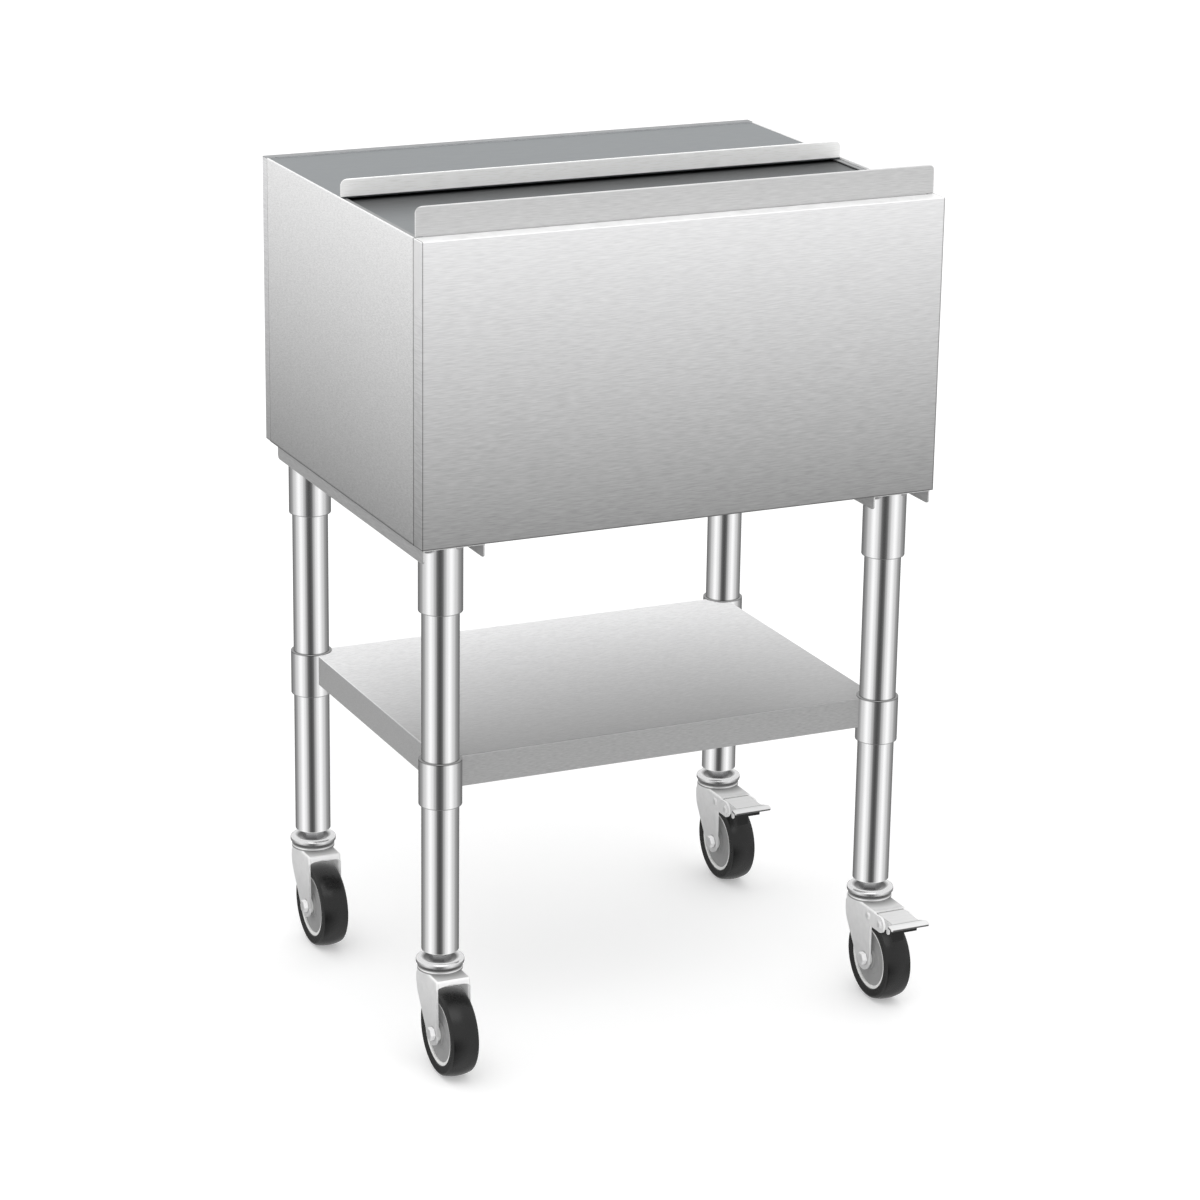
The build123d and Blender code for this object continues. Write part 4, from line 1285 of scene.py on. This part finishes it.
@dataclass
class Stand:
    """Legs, sockets, collars, channels and undershelf.

    Attributes:
        corners: Name of each corner and the place of its leg.
        leg_radius: Outer radius of a leg.
        leg_wall: Wall of a leg.
        leg_foot: Z of a leg's lower end.
        leg_top: Z of a leg's upper end.
        leg_edge: Rounding of a leg's lower edge.
        socket_radius: Outer radius of a socket.
        socket_foot: Z of a socket's lower end.
        collar_radius: Outer radius of a collar.
        collar_foot: Z of a collar's lower end.
        collar_top: Z of a collar's upper end.
        cup_edge: Rounding of the lower edge of a socket or collar.
        top_edge: Rounding of all upper edges.
        fit: Gap between a leg and what it goes into.
    """

    corners: Dict[str, Place]
    leg_radius: float = 20.65 * MM
    leg_wall: float = 1.2 * MM
    leg_foot: float = 137.0 * MM
    leg_top: float = 606.5 * MM
    leg_edge: float = 0.9 * MM
    socket_radius: float = 24.25 * MM
    socket_foot: float = 527.0 * MM
    collar_radius: float = 23.8 * MM
    collar_foot: float = 307.0 * MM
    collar_top: float = 359.0 * MM
    cup_edge: float = 0.7 * MM
    top_edge: float = 0.2 * MM
    fit: float = 0.15 * MM

    def build(self) -> None:
        """Build the tubes and dress the sheet metal."""
        dress(BASE, "left_channel", "right_channel")
        dress(SHELF, "undershelf")
        dress(ZINC, "set_screws")
        dress(INSERT, "leg_inserts")
        sockets, collars = Piece(), Piece()
        inside, bore = self.leg_radius - self.leg_wall, self.leg_radius + self.fit
        for name, place in self.corners.items():
            span = (self.leg_foot, self.leg_top)
            leg = self._tube(place, self.leg_radius, inside, span, self.leg_edge)
            leg.finish(name + "_leg_tube", TUBE, "bin", "tube_steel", name + "_leg")
            span = (self.socket_foot, self.leg_top)
            sockets.take(self._tube(place, self.socket_radius, bore, span, self.cup_edge))
            span = (self.collar_foot, self.collar_top)
            collars.take(self._tube(place, self.collar_radius, bore, span, self.cup_edge))
        sockets.finish("socket_cups", TUBE, "bin", "tube_steel", "leg_sockets")
        collars.finish("collar_sleeves", TUBE, "bin", "tube_steel", "shelf_collars")

    def _tube(
        self, place: Place, radius: float, bore: float, span: Tuple[float, float], edge: float,
    ) -> Piece:
        """Turn an upright tube.

        Args:
            place: X and Y of its axis.
            radius: Outer radius.
            bore: Inner radius.
            span: Z of its lower and its upper end.
            edge: Rounding of the lower outer edge.

        Returns:
            The tube, in place.
        """
        tube = Piece()
        foot, top = span
        lower = [(bore, foot, 0.0), (radius, foot, edge)]
        tube.turned(lower + [(radius, top, self.top_edge), (bore, top, 0.0)])
        return tube.put(upright(place))


@dataclass
class CasterTops:
    """The fixed tops of the casters: studs with hexagons, and dished caps.

    Attributes:
        corners: Name of each corner and the place of its stem.
    """

    corners: Dict[str, Place]

    def build(self) -> None:
        """Build the studs and the caps, each as one group of four."""
        studs, caps = Piece(), Piece()
        for place in self.corners.values():
            studs.take(self._stud(place))
            caps.take(self._cap(place))
        studs.finish("stem_studs", STUD, "bin", "zinc", "caster_stems")
        caps.finish("cap_dishes", BRIGHT_NICKEL, "bin", "nickel", "race_caps")

    @staticmethod
    def _stud(place: Place) -> Piece:
        """Turn one stud, with its hexagon and rivet head.

        Args:
            place: X and Y of the stem.

        Returns:
            The stud, in place.
        """
        stud = Piece()
        section = millimetres(
            (0.1, 109.1, 0.0), (9.0, 109.1, 1.2), (9.0, 112.1, 0.3),
            (6.0, 112.1, 0.0), (6.0, 175.0, 0.6), (0.1, 175.0, 0.0),
        )
        stud.turned(section, steps=48, round_steps=3)
        stud.put(upright())
        stud.hexagon(flats=21.5 * MM, start=125.0 * MM, end=132.0 * MM, chamfer=1.2 * MM)
        return stud.put(Matrix.Translation((place[0], place[1], 0.0)))

    @staticmethod
    def _cap(place: Place) -> Piece:
        """Turn one dished cap.

        Args:
            place: X and Y of the stem.

        Returns:
            The cap, in place.
        """
        cap = Piece()
        section = millimetres(
            (6.0, 121.0, 0.0), (25.5, 121.0, 0.4), (26.75, 122.8, 1.2), (26.75, 126.4, 1.8),
            (24.7, 128.0, 1.4), (21.6, 128.0, 1.2), (13.0, 125.0, 1.0), (6.0, 125.0, 0.0),
        )
        cap.turned(section)
        return cap.put(upright(place))


@dataclass
class Caster:
    """One swivel caster: fork, axle and wheel, and the brake where it has one.

    Attributes:
        name: Corner of the stand.
        place: X and Y of the stem.
        brake: What stops the wheel.
        trail: How far the axle lies forwards of the stem.
        axle: Z of the axle.
        half: Half width over the fork's arms.
        sheet: Thickness of the fork's sheet.
        bend: Outer radius of the fork's bends.
        crown: Z of the crown's top.
        lip: Z of the lips' lower edge.
        arch: How far the lips rise over the tyre.
        swivel: Body of the fork.
        wheel: Body of the wheel.
    """

    name: str
    place: Place
    brake: Brake
    trail: float = 28.0 * MM
    axle: float = 50.0 * MM
    half: float = 20.0 * MM
    sheet: float = 2.5 * MM
    bend: float = 3.0 * MM
    crown: float = 115.0 * MM
    lip: float = 107.0 * MM
    arch: float = 2.5 * MM
    swivel: str = field(init=False)
    wheel: str = field(init=False)

    def __post_init__(self) -> None:
        """Name the bodies that the pieces move with."""
        self.swivel = self.name + "_swivel"
        self.wheel = self.name + "_wheel"

    def side(self) -> Matrix:
        """Return the place of the side view: X forwards, Y up, Z to the left."""
        return axes((self.place[0], self.place[1], 0.0), FORWARDS, UP)

    def hub(self) -> Triple:
        """Return the middle of the axle."""
        return (self.place[0], self.place[1] - self.trail, self.axle)

    def axle_line(self) -> Matrix:
        """Return the place of a section through the axle: X forwards, Y along it."""
        return axes(self.hub(), FORWARDS, RIGHT)

    def build(self) -> None:
        """Build all pieces of the caster."""
        self._fork()
        self._axle()
        self._core()
        self._covers()
        self._tyre()
        dress(ZINC, self.name + "_axle_sleeve")
        if self.brake is Brake.PEDAL:
            dress(BRAKE_BLACK, self.name + "_brake_pad")
            self._pedal()
            self._pins()

    def _arm_corners(self) -> List[Corner]:
        """Draw the fork's side outline, with the ear of a braked one.

        Returns:
            The corners of the outline.
        """
        ear: List[Corner] = [(39.0 * MM, self.crown, 0.0)]
        if self.brake is Brake.PEDAL:
            ear = [(47.8 * MM, self.crown, 0.0)] + millimetres(
                (47.8, 112.5, 0.0), (70.5, 114.27, 9.5), (70.5, 94.5, 9.5), (39.0, 94.5, 2.0),
            )
        foot = millimetres((39.0, 1.32, 15.0), (-20.0, 88.0, 30.0))
        return [(-20.0 * MM, self.crown, 0.0)] + ear + foot

    def _fork(self) -> None:
        """Press the fork from sheet and seat the lower race on it."""
        fork = Piece()
        fork.slab(self._arm_corners(), -self.half, self.half, steps=12)
        fork.split(self.lip)
        mesh = fork.mesh
        cut = [f for f in mesh.faces if abs(f.normal.z) < FACING and not self._stays(f)]
        bmesh.ops.delete(mesh, geom=cut, context="FACES")
        self._arch_lips(mesh)
        bends = [
            e for e in mesh.edges
            if e.is_manifold and e.calc_face_angle(0.0) > BEND_TURN
            and max(v.co.y for v in e.verts) > self.lip
        ]
        fork.bevel(bends, self.bend, segments=5)
        bmesh.ops.solidify(mesh, geom=mesh.faces[:], thickness=self.sheet)
        fork.put(self.side())
        fork.take(self._race())
        node = self.name + "_fork"
        fork.finish(node + "_pressing", FORK, self.swivel, "nickel", node)

    def _stays(self, face: bmesh.types.BMFace) -> bool:
        """Tell whether a rim face of the fork is part of the pressing.

        Args:
            face: A face between the two arms.

        Returns:
            True for the crown and for the lips at its ends.
        """
        centre = face.calc_center_median()
        if face.normal.y > FACING and centre.y > self.crown - NEAR:
            return True
        front = face.normal.x > FACING and self.brake is Brake.NONE
        return centre.y > self.lip and (front or face.normal.x < -FACING)

    def _arch_lips(self, mesh: bmesh.types.BMesh) -> None:
        """Arch the lower edges of the lips over the tyre.

        Args:
            mesh: The fork's mesh.
        """
        low = [
            e for e in mesh.edges
            if e.is_boundary and abs(e.verts[0].co.z - e.verts[1].co.z) > self.half
            and all(abs(v.co.y - self.lip) < NEAR for v in e.verts)
        ]
        fresh = bmesh.ops.subdivide_edges(mesh, edges=low, cuts=14)["geom_inner"]
        for vert in (g for g in fresh if isinstance(g, bmesh.types.BMVert)):
            share = vert.co.z / (self.half - self.sheet)
            rise = self.arch * max(0.0, 1.0 - share * share)
            bmesh.ops.translate(mesh, verts=[vert], vec=(0.0, rise, 0.0))

    def _race(self) -> Piece:
        """Turn the lower half of the swivel race.

        Returns:
            The race, in place.
        """
        race = Piece()
        bore, rim, seat, top = 6.06 * MM, 25.0 * MM, self.crown - 0.5 * MM, 119.5 * MM
        race.turned([(bore, seat, 0.0), (rim, seat, 0.0), (rim, top, 1.5 * MM), (bore, top, 0.0)])
        return race.put(upright(self.place))

    def _axle(self) -> None:
        """Build the axle bolt, with its head on the left and its nut on the right."""
        bolt = Piece()
        section = millimetres(
            (0.1, -21.0, 0.0), (4.0, -21.0, 0.0), (4.0, 28.0, 0.6), (0.1, 28.0, 0.0),
        )
        bolt.turned(section, steps=32, round_steps=3)
        bolt.put(upright())
        for start, end in ((-20.0, -25.3), (20.0, 26.5)):
            bolt.hexagon(flats=13.0 * MM, start=start * MM, end=end * MM, chamfer=0.9 * MM)
        bolt.put(axes(self.hub(), DOWN, BACKWARDS))
        node = self.name + "_axle_bolt"
        bolt.finish(self.name + "_axle_hex", ZINC, self.swivel, "zinc", node)

    def _core(self) -> None:
        """Turn the wheel's white core."""
        core = Piece()
        half = millimetres(
            (6.56, 17.0, 0.4), (9.0, 17.0, 0.6), (9.0, 2.5, 0.8), (31.5, 2.5, 0.8),
            (31.5, 10.5, 0.0), (33.5, 10.5, 0.0), (33.5, 14.0, 0.7), (37.0, 14.0, 0.4),
        )
        core.turned(self._both_ends(half), steps=112, round_steps=4)
        core.put(self.axle_line())
        node = self.name + "_wheel_core"
        core.finish(self.name + "_wheel_rim", RIM_WHITE, self.wheel, "wheel_white", node)

    def _covers(self) -> None:
        """Turn the wheel's two grey covers, with a shallow step on each."""
        covers = Piece()
        section = millimetres(
            (9.1, 10.5, 0.0), (33.4, 10.5, 0.0), (33.4, 12.0, 0.3), (31.2, 12.0, 0.3),
            (30.4, 11.5, 0.3), (20.0, 11.5, 0.3), (19.2, 12.0, 0.3), (13.5, 12.0, 0.8),
            (13.0, 14.5, 0.8), (9.1, 14.5, 0.3),
        )
        for side in Side:
            disc = Piece()
            disc.turned(section, round_steps=3)
            mirrored = Matrix.Scale(side.value, 4, (0.0, 1.0, 0.0))
            covers.take(disc.put(self.axle_line() @ mirrored))
        bmesh.ops.recalc_face_normals(covers.mesh, faces=covers.mesh.faces[:])
        node = self.name + "_hub_covers"
        covers.finish(self.name + "_cover_discs", HUB_GREY, self.wheel, "hub_grey", node)

    def _tyre(self) -> None:
        """Turn the wheel's black tyre, with its crowned tread."""
        tyre = Piece()
        half = millimetres((37.0, 15.0, 0.6), (47.2, 16.0, 3.5))
        crown = millimetres((52.05, 0.0, 45.0))
        tyre.turned(self._both_ends(half, crown), steps=144, round_steps=8)
        tyre.put(self.axle_line())
        node = self.name + "_tyre"
        tyre.finish(node + "_tread", TREAD, self.wheel, "tread", node)

    @staticmethod
    def _both_ends(half: Sequence[Corner], crown: Sequence[Corner] = ()) -> List[Corner]:
        """Complete a section from its right half and the corners between both halves."""
        left = [(radius, -along, rounding) for radius, along, rounding in half]
        return left + list(crown) + list(reversed(half))

    def _pedal(self) -> None:
        """Fold the brake pedal: a plate that widens to a lip, over two cheeks."""
        pedal = Piece()
        outline = millimetres(
            (54.0, 111.5, 0.0), (78.5, 111.5, 0.0), (78.5, 105.0, 1.5), (77.0, 104.2, 0.0),
            (77.0, 96.4, 2.4), (72.0, 96.4, 2.4), (72.0, 101.7, 0.0), (54.0, 92.8, 7.0),
        )
        for start, end in ((-17.0, -15.0), (15.0, 17.0)):
            cheek = Piece()
            cheek.slab(outline, start * MM, end * MM)
            cheek.soften(width=0.35 * MM)
            pedal.take(cheek.put(self.side()))
        pedal.take(self._plate())
        body, node = self.name + "_pedal", self.name + "_brake_pedal"
        pedal.finish(self.name + "_pedal_pressing", PEDAL, body, "nickel", node)

    def _plate(self) -> Piece:
        """Cut the pedal's plate, with its lip bent a little down.

        Returns:
            The plate, in place.
        """
        plate = Piece()
        outline = millimetres(
            (-17.0, 49.0, 0.4), (17.0, 49.0, 0.4), (17.0, 85.0, 1.0), (25.0, 89.0, 1.0),
            (25.0, 98.0, 3.0), (-25.0, 98.0, 3.0), (-25.0, 89.0, 1.0), (-17.0, 85.0, 1.0),
        )
        plate.slab(outline, 111.5 * MM, 113.5 * MM)
        crease, fall = 87.0 * MM, 2.0 / 11.0
        plate.split(crease)
        for vert in (v for v in plate.mesh.verts if v.co.y > crease):
            down = (crease - vert.co.y) * fall
            bmesh.ops.translate(plate.mesh, verts=[vert], vec=(0.0, 0.0, down))
        plate.soften(width=0.6 * MM, segments=3)
        return plate.put(axes((self.place[0], self.place[1], 0.0), LEFT, FORWARDS))

    def _pins(self) -> None:
        """Turn the brake's two pins, with low domed heads."""
        pins = Piece()
        for forward, level, radius in ((61.0, 104.0, 3.0), (33.6, 104.5, 2.5)):
            pin = Piece()
            half = millimetres(
                (0.1, 21.6, 0.0), (2.6, 21.6, 2.0), (5.0, 20.7, 0.4),
                (5.0, 20.0, 0.0), (radius, 20.0, 0.0),
            )
            pin.turned(self._both_ends(half), steps=40, round_steps=4)
            spot = (self.place[0], self.place[1] - forward * MM, level * MM)
            pins.take(pin.put(axes(spot, FORWARDS, RIGHT)))
        node = self.name + "_brake_pins"
        pins.finish(self.name + "_rivet_pins", ZINC, self.swivel, "zinc", node)


@dataclass
class Studio:
    """Floor, surroundings, soft lamp and camera.

    Attributes:
        azimuth: Direction of the camera, in degrees from the front.
        elevation: Height of the camera over the aim, in degrees.
        roll: Tilt of the picture, in degrees.
        distance: From the aim to the camera.
        aim: The point in the middle of the picture.
        lens: Focal length in millimetres.
        sensor: Width of the picture that the focal length goes with, in millimetres.
        far: How far the camera sees.
        floor_half: Half size of the floor.
        floor_tone: Grey of the floor.
        floor_glow: Light that the camera sees on the floor besides.
        cards: Greys of the cards, from the camera's side to the side away from it.
        card_fall: How steeply a direction has to fall for the cards to show in full.
        card_share: Cover of the cards outside their band.
        band_fall: Fall of the band's middle line.
        band_half: Half height of the band.
        band_edge: Height of the band's soft edge.
        lamp_place: Where the lamp hangs.
        lamp_aim: Where it points.
        lamp_size: Its two sides.
        lamp_power: Its power in watts.
        plain: Beginnings of the names of the pieces that polished metal doesn't mirror.
    """

    azimuth: float = -24.966
    elevation: float = 17.999
    roll: float = 0.847
    distance: float = 4.335
    aim: Triple = (-0.0112, -0.0474, 0.4615)
    lens: float = 115.009
    sensor: float = 36.0
    far: float = 100.0
    floor_half: float = 30.0
    floor_tone: float = 0.82
    floor_glow: float = 0.3
    cards: Tuple[Stop, ...] = (
        (0.0, 0.08), (0.01, 0.13), (0.045, 0.46), (0.11, 0.82), (0.23, 1.05),
        (0.49, 0.66), (0.72, 0.32), (0.9, 0.2), (1.0, 0.15),
    )
    card_fall: float = 0.06
    card_share: float = 0.6
    band_fall: float = 0.37
    band_half: float = 0.18
    band_edge: float = 0.045
    lamp_place: Triple = (-0.6, -1.6, 2.9)
    lamp_aim: Triple = (0.0, 0.0, 0.6)
    lamp_size: Tuple[float, float] = (2.6, 1.8)
    lamp_power: float = 16.0
    plain: Tuple[str, ...] = (
        "floor", "undershelf", "socket_cups", "collar_sleeves", "cap_dishes", "stem_studs",
        "leg_inserts", "set_screws", "front_left_", "rear_left_", "front_right_", "rear_right_",
    )

    def build(self) -> None:
        """Set up the whole studio."""
        self._camera()
        self._floor()
        self._surroundings()
        self._lamp()
        self._calm()
        bpy.context.scene.view_settings.view_transform = "Standard"

    def _calm(self) -> None:
        """Keep the stand out of its own polished tubes, which then show only the cards."""
        for thing in bpy.context.scene.objects:
            if thing.name.startswith(self.plain):
                thing.visible_glossy = False

    def _camera(self) -> None:
        """Place the camera."""
        turn, rise = math.radians(self.azimuth), math.radians(self.elevation)
        away = math.cos(rise)
        back = Vector((math.sin(turn) * away, -math.cos(turn) * away, math.sin(rise)))
        right = Vector((math.cos(turn), math.sin(turn), 0.0))
        pose = Matrix((right, back.cross(right), back)).transposed().to_4x4()
        tilt = Matrix.Rotation(math.radians(self.roll), 4, "Z")
        stand = Matrix.Translation(Vector(self.aim) + back * self.distance)
        lens = bpy.data.cameras.new("photo_view")
        lens.sensor_width = self.sensor
        lens.lens = self.lens
        lens.clip_end = self.far
        camera = bpy.data.objects.new("photo_view", lens)
        camera.matrix_world = stand @ pose @ tilt
        bpy.context.scene.collection.objects.link(camera)
        bpy.context.scene.camera = camera

    def _floor(self) -> None:
        """Lay a plain white floor that keeps the shadow."""
        mesh = bpy.data.meshes.new("floor")
        sheet = bmesh.new()
        bmesh.ops.create_grid(sheet, x_segments=1, y_segments=1, size=self.floor_half)
        sheet.to_mesh(mesh)
        sheet.free()
        material = bpy.data.materials.new("floor_white")
        material.use_nodes = True
        graph = Graph(material.node_tree)
        seen = graph.node("ShaderNodeLightPath", output="Is Camera Ray")
        paint = graph.node("ShaderNodeBsdfDiffuse", {}, {"Color": opaque(grey(self.floor_tone))})
        light = {"Color": WHITE, "Strength": seen * self.floor_glow}
        glow = graph.node("ShaderNodeEmission", {}, light)
        graph.show(graph.node("ShaderNodeAddShader", {}, {0: paint, 1: glow}))
        mesh.materials.append(material)
        floor = bpy.data.objects.new("floor", mesh)
        bpy.context.scene.collection.objects.link(floor)

    def _surroundings(self) -> None:
        """Make the white surroundings, with the dark cards that polished tubes show."""
        world = bpy.data.worlds.new("studio")
        world.use_nodes = True
        bpy.context.scene.world = world
        graph = Graph(world.node_tree)
        turn = math.radians(self.azimuth)
        direction = graph.node("ShaderNodeTexCoord", output="Generated")
        x = graph.node("ShaderNodeSeparateXYZ", {}, {0: direction}, 0)
        y, z = x.other(1), x.other(2)
        flat = (x * x + y * y + 1e-6) ** 0.5
        facing = (x * math.sin(turn) - y * math.cos(turn)) / flat
        stops = {"stops": self.cards}
        cards = graph.node("ShaderNodeValToRGB", stops, {0: (1.0 - facing) * 0.5})
        band = ((self.band_half - abs(z + self.band_fall)) / self.band_edge).clamped()
        cover = (z / -self.card_fall).clamped()
        cover = cover * (self.card_share + band * (1.0 - self.card_share))
        around = graph.blend(cover, WHITE, cards)
        seen = graph.node("ShaderNodeLightPath", output="Is Camera Ray")
        shown = graph.blend(seen, around, WHITE)
        light = graph.node("ShaderNodeBackground", {}, {"Color": shown, "Strength": 1.0})
        graph.show(light, "ShaderNodeOutputWorld")

    def _lamp(self) -> None:
        """Hang one large soft lamp over the front."""
        soft = bpy.data.lights.new("softbox", "AREA")
        soft.shape = "RECTANGLE"
        soft.size, soft.size_y = self.lamp_size
        soft.energy = self.lamp_power
        lamp = bpy.data.objects.new("softbox", soft)
        lamp.location = self.lamp_place
        back = Vector(self.lamp_place) - Vector(self.lamp_aim)
        lamp.rotation_euler = back.to_track_quat("Z", "Y").to_euler()
        bpy.context.scene.collection.objects.link(lamp)


def main() -> None:
    """Build the ice bin's looks in order."""
    logging.basicConfig(level=logging.INFO, format="%(name)s: %(message)s")
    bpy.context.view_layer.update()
    x, y = STEM
    corners: Dict[str, Place] = {
        "front_left": (-x, -y),
        "rear_left": (-x, y),
        "front_right": (x, -y),
        "rear_right": (x, y),
    }
    BinShell().build()
    SlidingLid(
        "front_lid", FRONT_LID, half=0.3018, front=-0.2144, back=0.020, under=0.9328,
        neck=0.295, lift=0.9385, handle=0.304, top=0.970,
    ).build()
    SlidingLid(
        "rear_lid", REAR_LID, half=0.303, front=0.0, back=0.2225, under=0.936,
        neck=0.3029, lift=0.9385, handle=0.303, top=0.9565,
    ).build()
    Stand(corners).build()
    CasterTops(corners).build()
    for name, place in corners.items():
        brake = Brake.PEDAL if name.endswith("right") else Brake.NONE
        Caster(name, place, brake).build()
    Studio().build()


if __name__ == "__main__":
    main()
